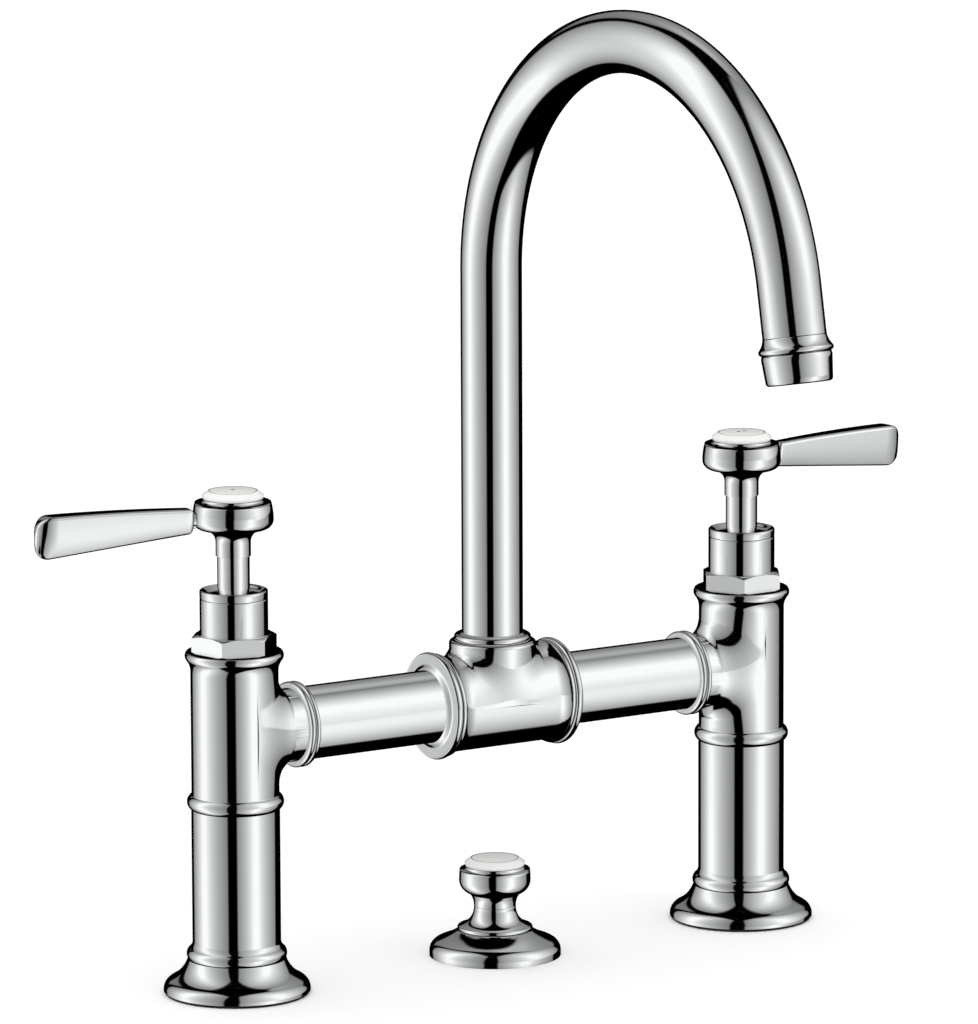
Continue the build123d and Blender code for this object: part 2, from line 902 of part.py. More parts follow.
# Headworks
def headwork(name, side, hex_turn):
    """Headwork: barrel with windows, thread, chamfered hexagon and round bonnet."""
    x = side * pillar_offset
    hex_top = body_top + hex_height
    corner = hex_flats / 2 / cos(radians(30))
    flat = hex_flats / 2
    with BuildPart() as piece:
        with BuildSketch(level(x, body_top, hex_turn)):
            RegularPolygon(flat, 6, major_radius=False)
        extrude(amount=hex_height)
        with BuildSketch(upright(x)):
            with BuildLine():
                Polyline(
                    (0, body_top),
                    (corner - hex_chamfer_reach / 2, body_top),
                    (corner, body_top + hex_chamfer_drop / 2),
                    (corner, hex_top - hex_chamfer_drop),
                    (corner - hex_chamfer_reach, hex_top),
                    (0, hex_top),
                    close=True,
                )
            make_face()
        revolve(axis=vertical(x), mode=Mode.INTERSECT)
        with BuildSketch(upright(x)):
            with BuildLine():
                Polyline(
                    (0, barrel_foot),
                    (barrel_radius, barrel_foot),
                    (barrel_radius, barrel_thread_foot),
                    (shank_radius, barrel_thread_foot),
                    (shank_radius, body_top),
                    (bonnet_radius, body_top),
                    (bonnet_radius, bonnet_top - edge_break),
                    (bonnet_radius - edge_break, bonnet_top),
                    (0, bonnet_top),
                    close=True,
                )
            make_face()
        revolve(axis=vertical(x))
        with BuildSketch(upright(x)):
            with BuildLine():
                Polyline(
                    (0, barrel_foot),
                    (barrel_bore, barrel_foot),
                    (barrel_bore, barrel_inner_top),
                    (spindle_bore, barrel_inner_top),
                    (spindle_bore, bonnet_top - cap_spigot_length),
                    (cap_spigot_radius + thread_gap, bonnet_top - cap_spigot_length),
                    (cap_spigot_radius + thread_gap, bonnet_top),
                    (0, bonnet_top),
                    close=True,
                )
            make_face()
        revolve(axis=vertical(x), mode=Mode.SUBTRACT)
        with BuildSketch(level(x, barrel_inner_top - window_height)):
            Rectangle(window_width, barrel_radius * 2 + 2.0)
        extrude(amount=window_height, mode=Mode.SUBTRACT)
    keep(piece, name)


def gland_cap(name, side):
    """Dished ring that closes the bonnet round the spindle."""
    x = side * pillar_offset
    with BuildPart() as piece:
        with BuildSketch(upright(x)):
            with BuildLine():
                Polyline(
                    (spindle_bore, bonnet_top - cap_spigot_length),
                    (cap_spigot_radius, bonnet_top - cap_spigot_length),
                    (cap_spigot_radius, bonnet_top),
                    (bonnet_radius - edge_break, bonnet_top),
                    (bonnet_radius, bonnet_top + edge_break),
                    (bonnet_radius, cap_top - edge_break),
                    (bonnet_radius - edge_break, cap_top),
                    (bonnet_radius - cap_lip, cap_top),
                    (bonnet_radius - cap_lip - cap_dish, dish_floor + edge_break),
                    (sleeve_radius, dish_floor),
                    (spindle_bore, dish_floor),
                    close=True,
                )
            make_face()
        revolve(axis=vertical(x))
    keep(piece, name)


def seat_seal(name, side):
    """Rubber ring that the fixed ceramic disc presses on the valve seat."""
    with BuildPart() as piece:
        with BuildSketch(level(side * pillar_offset, seat_height)):
            Circle(seat_seal_radius)
            Circle(seat_seal_bore, mode=Mode.SUBTRACT)
        extrude(amount=seat_seal_thickness)
    keep(piece, name)


def slotted_disc(start):
    """Sketch of a ceramic disc: two opposite sector openings from an angle on."""
    with BuildSketch() as disc:
        Circle(disc_radius)
        for angle in (start, start + 180):
            with BuildLine():
                inner = CenterArc((0, 0), water_slot_inner, angle, water_slot_angle)
                outer = CenterArc((0, 0), water_slot_outer, angle, water_slot_angle)
                Line(inner @ 0, outer @ 0)
                Line(inner @ 1, outer @ 1)
            make_face(mode=Mode.SUBTRACT)
    return disc.sketch


def fixed_disc(name, side):
    """Fixed ceramic disc: its two openings are covered while the tap is closed."""
    start = (90 - water_slot_angle) / 2
    with BuildPart() as piece:
        with BuildSketch(level(side * pillar_offset, fixed_disc_foot)):
            add(slotted_disc(start))
        extrude(amount=disc_thickness)
    keep(piece, name)


def moving_disc(name, side):
    """Moving ceramic disc: a quarter turn brings its openings over the fixed ones."""
    x = side * pillar_offset
    start = 90 + (90 - water_slot_angle) / 2
    top = moving_disc_foot + disc_thickness
    with BuildPart() as piece:
        with BuildSketch(level(x, moving_disc_foot)):
            add(slotted_disc(start))
        extrude(amount=disc_thickness)
        with BuildSketch(level(x, top, 45.0)):
            Rectangle(drive_length + thread_gap * 2, drive_width + thread_gap * 2)
        extrude(amount=-drive_depth - thread_gap, mode=Mode.SUBTRACT)
    keep(piece, name)


def spindle(name, side):
    """Spindle: drive tongue, collar, sealed shaft and a square top with a tapped hole."""
    x = side * pillar_offset
    seal_floor = spindle_radius - spindle_seal_depth
    driver_top = barrel_inner_top - lift_gap
    with BuildPart() as piece:
        with BuildSketch(upright(x)):
            with BuildLine():
                Polyline(
                    (0, driver_foot),
                    (driver_radius, driver_foot),
                    (driver_radius, driver_top),
                    (spindle_radius, driver_top),
                    (spindle_radius, spindle_seal_place),
                    (seal_floor, spindle_seal_place),
                    (seal_floor, spindle_seal_place + spindle_seal_width),
                    (spindle_radius, spindle_seal_place + spindle_seal_width),
                    (spindle_radius, seam_height),
                    (0, seam_height),
                    close=True,
                )
            make_face()
        revolve(axis=vertical(x))
        with BuildSketch(level(x, driver_foot, 45.0)):
            Rectangle(drive_length, drive_width)
        extrude(amount=-drive_depth)
        with BuildSketch(level(x, seam_height)):
            Rectangle(square_size, square_size)
        extrude(amount=square_length)
        with BuildSketch(level(x, square_top)):
            Circle(screw_radius + thread_gap)
        extrude(amount=-(screw_length - screw_web + 1.0), mode=Mode.SUBTRACT)
    keep(piece, name)


def spindle_seal(name, side):
    with BuildPart() as piece:
        with BuildSketch(level(side * pillar_offset, spindle_seal_place)):
            Circle(spindle_radius)
            Circle(spindle_radius - spindle_seal_depth, mode=Mode.SUBTRACT)
        extrude(amount=spindle_seal_width)
    keep(piece, name)


def stem_sleeve(name, side):
    """Plated sleeve over the spindle, drawn in at its foot."""
    x = side * pillar_offset
    foot = dish_floor + sleeve_lift
    bore = spindle_radius + thread_gap
    with BuildPart() as piece:
        with BuildSketch(upright(x)):
            with BuildLine():
                Polyline(
                    (bore, foot),
                    (sleeve_taper_radius, foot),
                    (sleeve_radius, foot + sleeve_taper_height),
                    (sleeve_radius, seam_height),
                    (bore, seam_height),
                    close=True,
                )
            make_face()
        revolve(axis=vertical(x))
    keep(piece, name)


# Handles
def hub_outline():
    """Half section of a hub without its bores: slim neck, flare and round drum."""
    neck_end = seam_height + hub_neck_height
    flare_end = neck_end + hub_flare_height
    widest = (hub_radius, hub_widest)
    with BuildSketch() as outline:
        with BuildLine():
            neck = Line((neck_sleeve_radius, seam_height), (neck_sleeve_radius, neck_end))
            flare = TangentArc(neck @ 1, (hub_flare_radius, flare_end), tangent=(0, 1))
            belly = TangentArc(widest, (hub_foot_radius, hub_foot), tangent=(0, -1))
            Line(flare @ 1, belly @ 1)
            crown = TangentArc(widest, (hub_top_radius, hub_top - seat_step), tangent=(0, 1))
            Polyline(
                crown @ 1,
                (seat_ring_radius, hub_top - seat_step),
                (seat_ring_radius, hub_top - edge_break),
                (seat_ring_radius - edge_break, hub_top),
                (0, hub_top),
                (0, seam_height),
                neck @ 0,
            )
        make_face()
    return outline.sketch


def lever_plane(side, distance=0.0):
    """Upright plane along a closed lever: distance from the pillar runs across it."""
    turn = radians(cold_lever_turn if side < 0 else hot_lever_turn)
    along = (side * cos(turn), sin(turn), 0)
    return Plane(
        origin=(side * pillar_offset + distance * along[0], distance * along[1], 0),
        x_dir=along,
        z_dir=(along[1], -along[0], 0),
    )


def lever_section(side, distance, height):
    """Plane square to a closed lever, facing away from the pillar."""
    plane = lever_plane(side, distance)
    return Plane(origin=plane.origin + Vector(0, 0, height), x_dir=(0, 0, 1), z_dir=plane.x_dir)


def handle_hub(name, side):
    """Hub: bored for the spindle's square, its screw, the lever's stud and the disc."""
    x = side * pillar_offset
    recess_floor = hub_top - index_plug_depth
    with BuildPart() as piece:
        with BuildSketch(upright(x)):
            add(hub_outline())
        revolve(axis=vertical(x))
        with BuildSketch(upright(x)):
            with BuildLine():
                Polyline(
                    (0, square_top),
                    (screw_radius + washer_gap, square_top),
                    (screw_radius + washer_gap, screw_head_foot),
                    (head_bore_radius, screw_head_foot),
                    (head_bore_radius, recess_floor),
                    (index_plug_radius + thread_gap, recess_floor),
                    (index_plug_radius + thread_gap, hub_top),
                    (0, hub_top),
                    close=True,
                )
            make_face()
        revolve(axis=vertical(x), mode=Mode.SUBTRACT)
        with BuildSketch(level(x, seam_height)):
            Rectangle(square_size + thread_gap * 2, square_size + thread_gap * 2)
        extrude(amount=square_length, mode=Mode.SUBTRACT)
        with BuildSketch(lever_section(side, hub_radius, lever_stud_height)):
            Circle(lever_stud_radius + thread_gap)
        extrude(amount=-lever_stud_length - thread_gap, mode=Mode.SUBTRACT)
    keep(piece, name)


def lever(name, side):
    """Paddle lever: a slim neck at the hub, then deeper and thicker to a rounded tip."""
    x = side * pillar_offset
    shoulder = hub_radius + lever_shoulder_gap
    tip = lever_length - lever_tip_bulge
    tip_middle = (lever_tip_top + lever_tip_bottom) / 2
    bow_middle = (lever_root_top + lever_tip_top) / 2 + lever_top_bow
    neck_middle = (lever_root_top + lever_root_bottom) / 2
    neck_step = 2 * lever_neck_step
    root_half = lever_root_thickness / 2
    tip_half = lever_tip_thickness / 2
    with BuildPart() as piece:
        with BuildSketch(lever_plane(side)):
            with BuildLine():
                end = ThreePointArc(
                    (tip, lever_tip_bottom), (lever_length, tip_middle), (tip, lever_tip_top)
                )
                top = ThreePointArc(
                    end @ 1, ((shoulder + tip) / 2, bow_middle), (shoulder, lever_root_top)
                )
                Polyline(top @ 1, (shoulder, lever_root_bottom), end @ 0)
            make_face()
            corners = vertices().group_by(Axis.X)[-1]
            fillet(corners, radius=lever_tip_rounding)
        extrude(amount=lever_tip_thickness, both=True)
        plan = Plane(origin=(x, 0, 0), x_dir=lever_plane(side).x_dir, z_dir=(0, 0, 1))
        with BuildSketch(plan.offset(lever_tip_bottom - lever_edge)):
            with BuildLine():
                Polyline(
                    (lever_root, root_half),
                    (lever_length, tip_half),
                    (lever_length, -tip_half),
                    (lever_root, -root_half),
                    close=True,
                )
            make_face()
        extrude(amount=lever_tip_top - lever_tip_bottom + 3 * lever_edge, mode=Mode.INTERSECT)
        flanks = piece.faces().sort_by(SortBy.AREA)[-2:]
        rims = flanks.edges().filter_by(lambda edge: lever_reach(edge, side) > shoulder + 0.1)
        fillet(rims, radius=lever_edge)
        root = piece.faces().sort_by(lambda face: lever_reach(face, side))[0]
        fillet(root.edges(), radius=lever_shoulder_rounding)
        with BuildSketch(lever_section(side, lever_root, neck_middle)):
            Rectangle(lever_root_depth - neck_step, lever_root_thickness - neck_step)
        extrude(amount=shoulder - lever_root + edge_break)
        with BuildSketch(upright(x)):
            add(hub_outline())
        revolve(axis=vertical(x), mode=Mode.SUBTRACT)
        with BuildSketch(lever_section(side, hub_radius + 1.0, lever_stud_height)):
            Circle(lever_stud_radius)
        extrude(amount=-lever_stud_length - 1.0 + 2 * thread_gap)
    keep(piece, name)


def lever_reach(shape, side):
    """Distance of an edge's or face's middle from the pillar, along the lever."""
    return lever_plane(side).to_local_coords(shape.center()).X


def handle_screw(name, side):
    """Socket screw that clamps the hub to the spindle."""
    x = side * pillar_offset
    with BuildPart() as screw:
        with BuildSketch(level(x, screw_head_foot)):
            Circle(screw_radius)
        extrude(amount=-screw_length)
        with BuildSketch(level(x, screw_head_foot)):
            Circle(screw_head_radius)
        extrude(amount=screw_head_height)
        with BuildSketch(level(x, screw_head_foot + screw_head_height)):
            RegularPolygon(screw_radius * 0.8, 6)
        extrude(amount=-screw_head_height * 0.6, mode=Mode.SUBTRACT)
    keep(screw, name)


def porcelain_disc(name, place, seat):
    """Porcelain disc: plugged into its seat, wider above it, bevelled and crowned."""
    plug_foot = seat - index_plug_depth
    bevel_top = seat + index_height - index_crown
    with BuildPart() as disc:
        with BuildSketch(upright(*place)):
            with BuildLine():
                side_arc = ThreePointArc(
                    (index_foot_radius, seat),
                    (index_radius - 0.1, seat + index_side_height * 0.45),
                    (index_radius, seat + index_side_height),
                )
                bevel = Line(side_arc @ 1, (index_face_radius, bevel_top))
                crown = TangentArc((0, seat + index_height), bevel @ 1, tangent=(1, 0))
                Polyline(
                    crown @ 0,
                    (0, plug_foot),
                    (index_plug_radius, plug_foot),
                    (index_plug_radius, seat),
                    side_arc @ 0,
                )
            make_face()
        revolve(axis=vertical(*place))
    keep(disc, name)


# Pop-up waste knob
def rosette():
    """Bell rosette under the knob, standing on the deck."""
    bell_cover(
        "rosette",
        place=knob_place,
        foot=0.0,
        rim=(rosette_radius, rosette_rim),
        shoulder=(rosette_radius - rosette_shoulder_drop, rosette_rim + rosette_shoulder_height),
        neck=(rosette_neck_radius, rosette_height),
        bore=guide_radius + washer_gap,
        wall=rosette_wall,
    )


def rod_guide():
    """Guide for the lift rod: flanged bell and collar on top, thread below the deck."""
    lip_top = rosette_height + guide_flange_height
    bell_foot = (guide_collar_radius + guide_bell_reach, lip_top)
    rod_bore = rod_radius + running_gap
    with BuildPart() as guide:
        with BuildSketch(upright(*knob_place)):
            with BuildLine():
                bell = TangentArc(
                    (guide_collar_radius, lip_top + guide_bell_height), bell_foot, tangent=(0, -1)
                )
                lip = ThreePointArc(
                    bell @ 1,
                    (guide_flange_radius, rosette_height + guide_flange_height * 0.55),
                    (guide_flange_radius - edge_break, rosette_height),
                )
                Polyline(
                    lip @ 1,
                    (guide_radius, rosette_height),
                    (guide_radius, guide_foot),
                    (rod_bore, guide_foot),
                    (rod_bore, guide_top),
                    (guide_collar_radius - edge_break, guide_top),
                    (guide_collar_radius, guide_top - edge_break),
                    bell @ 0,
                )
            make_face()
        revolve(axis=vertical(*knob_place))
    keep(guide, "rod_guide")


def guide_nut():
    """Flanged nut that clamps the guide from under the deck."""
    flange_bottom = deck_underside - guide_nut_flange
    with BuildPart() as nut:
        with BuildSketch(level(0, deck_underside, y=knob_place[1])):
            Circle(guide_nut_flange_radius)
        extrude(amount=-guide_nut_flange)
        with BuildSketch(level(0, flange_bottom, y=knob_place[1])):
            RegularPolygon(guide_nut_flats / 2, 6, major_radius=False)
        extrude(amount=-guide_nut_height)
        with BuildSketch(level(0, deck_underside, y=knob_place[1])):
            Circle(guide_radius + thread_gap)
        extrude(amount=-guide_nut_flange - guide_nut_height, mode=Mode.SUBTRACT)
    keep(nut, "guide_nut")


def pull_knob():
    """Knob: short flared neck under a round drum, tapped for the lift rod."""
    widest = (knob_radius, knob_widest)
    with BuildPart() as knob:
        with BuildSketch(upright(*knob_place)):
            with BuildLine():
                neck = TangentArc(
                    (knob_foot_radius, knob_foot), (knob_neck_radius, knob_neck_top), tangent=(0, 1)
                )
                belly = TangentArc(
                    widest, (knob_neck_radius + knob_belly_reach, knob_belly_foot), tangent=(0, -1)
                )
                Line(neck @ 1, belly @ 1)
                crown = TangentArc(widest, (knob_top_radius, knob_top - seat_step), tangent=(0, 1))
                Polyline(
                    crown @ 1,
                    (seat_ring_radius, knob_top - seat_step),
                    (seat_ring_radius, knob_top - edge_break),
                    (seat_ring_radius - edge_break, knob_top),
                    (index_plug_radius + thread_gap, knob_top),
                    (index_plug_radius + thread_gap, knob_top - index_plug_depth),
                    (0, knob_top - index_plug_depth),
                    (0, rod_top),
                    (rod_radius + thread_gap, rod_top),
                    (rod_radius + thread_gap, knob_foot),
                    neck @ 0,
                )
            make_face()
        revolve(axis=vertical(*knob_place))
    keep(knob, "pull_knob")


def pull_rod():
    """Lift rod: guided upper part and a thinner tail for the waste linkage."""
    with BuildPart() as rod:
        with BuildSketch(level(0, rod_top - edge_break, y=knob_place[1])):
            Circle(rod_radius)
        extrude(amount=rod_shoulder - rod_top + edge_break)
        with BuildSketch(level(0, rod_shoulder, y=knob_place[1])):
            Circle(rod_tail_radius)
        extrude(amount=-rod_tail_length)
    keep(rod, "pull_rod")


# Fixings and pillars
deck_ring("flange_gaskets", 0.0, gasket_thickness, gasket_radius, gasket_bore)
deck_ring("deck_seals", washer_top, seal_thickness, seal_radius, shank_radius + washer_gap)
deck_ring("deck_washers", backnut_top, washer_thickness, washer_radius, shank_radius + washer_gap)
backnuts()
arm_seals()
for word, side, hex_turn in sides:
    shank(f"{word}_shank", side)
    base_flange(f"{word}_base_flange", side)
    stand_tube(f"{word}_stand_tube", side)
    valve_body(f"{word}_valve_body", side)
    port_ring(f"{word}_port_ring", side)
    bridge_arm(f"{word}_bridge_arm", side)
    tee_ring(f"{word}_tee_ring", side)
    headwork(f"{word}_headwork", side, hex_turn)
    gland_cap(f"{word}_gland_cap", side)
    seat_seal(f"{word}_seat_seal", side)
    fixed_disc(f"{word}_fixed_disc", side)
    moving_disc(f"{word}_moving_disc", side)
    spindle(f"{word}_spindle", side)
    spindle_seal(f"{word}_spindle_seal", side)
    stem_sleeve(f"{word}_stem_sleeve", side)
    handle_hub(f"{word}_handle_hub", side)
    lever(f"{word}_lever", side)
    handle_screw(f"{word}_handle_screw", side)
    porcelain_disc(f"{word}_index_disc", (side * pillar_offset, 0), hub_top)

# Spout in its tee
tee_body()
spout_grub_screw()
spout_spigot()
spout_bearing()
spout_seals()
spout_tube()
outlet_socket()
aerator_housing()
aerator_insert()
aerator_seal()

# Pop-up waste knob
rosette()
rod_guide()
guide_nut()
pull_knob()
pull_rod()
porcelain_disc("knob_disc", knob_place, knob_top)
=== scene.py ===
# %% [markdown]
# # A chrome bridge mixer
#
# The tap is two brass pillars joined by a level bridge, with a swan-neck spout on a tee in
# the middle and a pull knob beside it. Almost all of it is mirror chrome, so this scene is
# mostly about three things: smooth surfaces, a studio worth reflecting, and the few parts
# that aren't chrome. The solids come from the CAD model, and nothing here moves or resizes
# them.

# %% Load the frame
import json
from math import cos, pi, radians, sin, tan

import bmesh
import bpy
import numpy as np
from mathutils import Matrix, Quaternion, Vector

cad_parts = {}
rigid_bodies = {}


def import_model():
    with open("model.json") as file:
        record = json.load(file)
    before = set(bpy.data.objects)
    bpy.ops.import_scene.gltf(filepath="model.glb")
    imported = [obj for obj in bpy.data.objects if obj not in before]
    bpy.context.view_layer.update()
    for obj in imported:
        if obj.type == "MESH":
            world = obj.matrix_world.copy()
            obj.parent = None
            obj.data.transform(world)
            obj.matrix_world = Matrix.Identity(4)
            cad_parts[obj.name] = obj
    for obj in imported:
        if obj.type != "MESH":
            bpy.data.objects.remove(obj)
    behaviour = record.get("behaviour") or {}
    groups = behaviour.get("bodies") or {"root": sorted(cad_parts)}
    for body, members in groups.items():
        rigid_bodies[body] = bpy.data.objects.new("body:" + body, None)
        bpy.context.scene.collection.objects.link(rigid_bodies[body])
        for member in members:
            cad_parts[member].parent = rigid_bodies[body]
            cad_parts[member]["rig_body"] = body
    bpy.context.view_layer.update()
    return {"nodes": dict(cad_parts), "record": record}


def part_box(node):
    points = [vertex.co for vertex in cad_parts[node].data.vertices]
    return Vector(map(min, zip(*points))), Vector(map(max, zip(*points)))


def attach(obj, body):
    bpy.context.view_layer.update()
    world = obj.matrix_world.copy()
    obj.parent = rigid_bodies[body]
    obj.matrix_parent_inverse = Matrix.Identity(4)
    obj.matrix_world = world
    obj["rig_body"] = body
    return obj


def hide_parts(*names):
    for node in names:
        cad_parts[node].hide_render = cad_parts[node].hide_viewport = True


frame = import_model()
nodes = frame["nodes"]

# %% [markdown]
# ## Where the axes run
#
# Nearly every visible piece was turned on a lathe or bent from tube, and a mirror finish shows
# the slightest error in that roundness. To put it right, the script has to know the lathe's
# axis of each piece. The frame gives them: a pillar's axis is the middle of its stand tube, the
# bridge's is the middle of its arm, and the neck's and the knob's are the middles of the
# swivel washer and the rosette. The spout's line is a straight riser, a bend and a short
# straight end, so it is worked out from the same few sizes that a pipe bender is set to.

# %% Axes of the turned pieces
MM = 0.001
UP = Vector((0, 0, 1))
ACROSS = Vector((1, 0, 0))


def middle(node):
    """The middle of a CAD node's box."""
    low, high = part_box(node)
    return (low + high) / 2


pillars = {side: middle(side + "_stand_tube") for side in ("cold", "hot")}
bridge_height = middle("cold_bridge_arm").z
neck = middle("spout_bearing")
knob = middle("rosette")
print("bridge height", round(bridge_height / MM, 2), "mm, knob at", [round(c / MM, 2) for c in knob.xy])

# %% The spout's line
RISER_FOOT = 115.9 * MM
RISER_LENGTH = 128.9 * MM
BEND_RADIUS = 88.0 * MM
BEND_ANGLE = radians(169.2)
SPOUT_TURN = radians(2.2)
END_STRAIGHT = 17.1 * MM

forward = Vector((sin(SPOUT_TURN), -cos(SPOUT_TURN), 0))
bend_start = Vector((neck.x, neck.y, RISER_FOOT + RISER_LENGTH))
bend_centre = bend_start + forward * BEND_RADIUS
bend_end = bend_centre + (UP * sin(BEND_ANGLE) - forward * cos(BEND_ANGLE)) * BEND_RADIUS
outflow = forward * sin(BEND_ANGLE) + UP * cos(BEND_ANGLE)
tube_end = bend_end + outflow * END_STRAIGHT
print("the tube ends at", [round(c / MM, 1) for c in tube_end], "mm")
print("it points along", [round(c, 3) for c in outflow])

# %% [markdown]
# ## Colours and nodes
#
# A finish is easiest to read when its colour is the hex value that a paint chart or a photo
# gives. Blender's sockets want linear light, so one function converts. One more adds a node
# with its settings and links, which keeps each material a short list of what it is made of.
# A value given to it can be a number, a socket, or a node whose first output is meant, so the
# arithmetic of a tree reads as a list of steps.

# %% Colour and node helpers
def linear(colour):
    """Linear RGBA of an sRGB hex colour such as #c8c8c8."""
    channels = [int(colour[i : i + 2], 16) / 255 for i in (1, 3, 5)]
    return [c / 12.92 if c <= 0.04045 else ((c + 0.055) / 1.055) ** 2.4 for c in channels] + [1.0]


MATH = "ShaderNodeMath"


def add(tree, kind, settings=None, **inputs):
    """Add a node. settings are its properties. inputs are its sockets, by name or as _0, _1 and
    so on, and each is given a number, a socket or a node."""
    node = tree.nodes.new(kind)
    for name, value in (settings or {}).items():
        setattr(node, name, value)
    for name, value in inputs.items():
        socket = node.inputs[int(name[1:]) if name[0] == "_" else name.replace("_", " ")]
        if isinstance(value, bpy.types.Node):
            value = value.outputs[0]
        if isinstance(value, bpy.types.NodeSocket):
            tree.links.new(value, socket)
        else:
            socket.default_value = value
    return node


def new_material(name):
    """An empty material with an output, and its tree."""
    material = bpy.data.materials.new(name)
    material.use_nodes = True
    material.node_tree.nodes.clear()
    return material, material.node_tree


def finish_material(material, tree, shader):
    output = tree.nodes.new("ShaderNodeOutputMaterial")
    tree.links.new(shader.outputs["BSDF"], output.inputs["Surface"])
    return material


print("white is", [round(c, 3) for c in linear("#ffffff")], "mid grey is", round(linear("#808080")[0], 3))

# %% [markdown]
# ## Polished chrome plate
#
# The brass is buffed, nickel plated and flash plated with chrome. What the eye gets is a
# nearly perfect mirror with a slightly blue-grey tint, and buffing leaves a very faint
# waviness that softens the edges of reflections. The waves are a few millimetres long and a
# fraction of a micrometre deep, so they move a reflection without showing as a form. Narrow
# creases get painted shade: where ambient occlusion finds the surface closed in, the base
# colour is darkened, because there the real plate mirrors only more plate.

# %% Chrome
CHROME_COLOUR = "#fafcfc"
CHROME_ROUGHNESS = 0.025
SMOOTHEST, ROUGHEST = 0.8, 1.6
# painted shade: creases found by ambient occlusion within this reach fade to this darker base colour
CREASE_SHADE_COLOUR = "#2c2f30"
CREASE_SHADE_REACH = 4.0 * MM
CREASE_SHADE_DARKEST = 0.25
CREASE_SHADE_OPEN = 0.62
BUFFING_WAVE = 7.0 * MM
BUFFING_DEPTH = 0.0002 * MM


def polished_chrome():
    material, tree = new_material("polished_chrome_plate")
    where = add(tree, "ShaderNodeTexCoord").outputs["Object"]
    waves = add(tree, "ShaderNodeTexNoise", Vector=where, Scale=1 / BUFFING_WAVE, Detail=1.0)
    bump = add(tree, "ShaderNodeBump", Height=waves.outputs["Fac"], Distance=BUFFING_DEPTH, Strength=1.0)
    wipe = add(tree, "ShaderNodeMapRange", Value=waves.outputs["Fac"])
    wipe.inputs["To Min"].default_value = CHROME_ROUGHNESS * SMOOTHEST
    wipe.inputs["To Max"].default_value = CHROME_ROUGHNESS * ROUGHEST
    # painted shade: ambient occlusion darkens the chrome's base colour in creases
    crease_occlusion = add(tree, "ShaderNodeAmbientOcclusion", {"samples": 8}, Distance=CREASE_SHADE_REACH)
    unshaded_share = add(tree, "ShaderNodeMapRange", Value=crease_occlusion.outputs["AO"])
    unshaded_share.inputs["From Min"].default_value = CREASE_SHADE_DARKEST
    unshaded_share.inputs["From Max"].default_value = CREASE_SHADE_OPEN
    tint = add(
        tree, "ShaderNodeMix", {"data_type": "RGBA"}, _0=unshaded_share.outputs["Result"],
        _6=linear(CREASE_SHADE_COLOUR), _7=linear(CHROME_COLOUR),
    )
    shader = add(
        tree,
        "ShaderNodeBsdfPrincipled",
        Base_Color=tint.outputs[2],
        Metallic=1.0,
        Roughness=wipe.outputs["Result"],
        Normal=bump.outputs["Normal"],
    )
    return finish_material(material, tree, shader)


# %% [markdown]
# ## Inside the tap, and the white discs
#
# Most of the inner pieces are hidden, and a gap or a pose shows a little of them. Turned brass
# and steel keep fine tool marks, moulded rubber and plastic are matt, and lapped ceramic is
# smooth and pale. All five are one recipe: a noise with grains of a set size changes the
# colour, the roughness and the height by a little. Real tool marks and moulding grain are under
# a tenth of a millimetre, too fine to show, so the grains are drawn 0.4 to 1.2 mm wide. The index
# discs are glazed porcelain, white and softly glossy, with a fine ring and plain dots printed
# under the glaze.

# %% Machined metals, rubber, plastic and ceramic
ROUGHNESS_SPREAD = 0.2


def speckled(name, colour, darker, grain, metallic, roughness, depth):
    """A finish whose colour and roughness vary over grains of that size."""
    material, tree = new_material(name)
    where = add(tree, "ShaderNodeTexCoord").outputs["Object"]
    noise = add(tree, "ShaderNodeTexNoise", Vector=where, Scale=1 / grain, Detail=4.0).outputs["Fac"]
    tint = add(tree, "ShaderNodeMix", {"data_type": "RGBA"}, _0=noise, _6=linear(darker), _7=linear(colour))
    rough = add(tree, "ShaderNodeMapRange", Value=noise)
    rough.inputs["To Min"].default_value = roughness * (1 - ROUGHNESS_SPREAD)
    rough.inputs["To Max"].default_value = min(1.0, roughness * (1 + ROUGHNESS_SPREAD))
    bump = add(tree, "ShaderNodeBump", Height=noise, Distance=depth, Strength=1.0)
    shader = add(
        tree,
        "ShaderNodeBsdfPrincipled",
        Base_Color=tint.outputs[2],
        Metallic=metallic,
        Roughness=rough.outputs["Result"],
        Normal=bump.outputs["Normal"],
    )
    return finish_material(material, tree, shader)


# %% Glazed porcelain
GLAZE = "#fdfdfb"
INK = "#6d7072"
GLAZE_ROUGHNESS = 0.12
GLAZE_GLOSS = 0.12
RING_RADIUS = 8.2 * MM
RING_LINE = 0.35 * MM
DOT_SIZE = 1.5 * MM
DOT_PITCH = 2.6 * MM
INK_BLEED = 0.3


def ink(tree, distance, radius, half_width):
    """1 within half_width of that radius, 0 outside, with a soft printed edge."""
    off = add(tree, MATH, {"operation": "SUBTRACT"}, _0=distance, _1=radius)
    size = add(tree, MATH, {"operation": "ABSOLUTE"}, _0=off)
    edge = add(tree, "ShaderNodeMapRange", {"interpolation_type": "SMOOTHSTEP"}, Value=size)
    edge.inputs["From Min"].default_value = half_width * (1 + INK_BLEED)
    edge.inputs["From Max"].default_value = half_width * (1 - INK_BLEED)
    return edge.outputs["Result"]


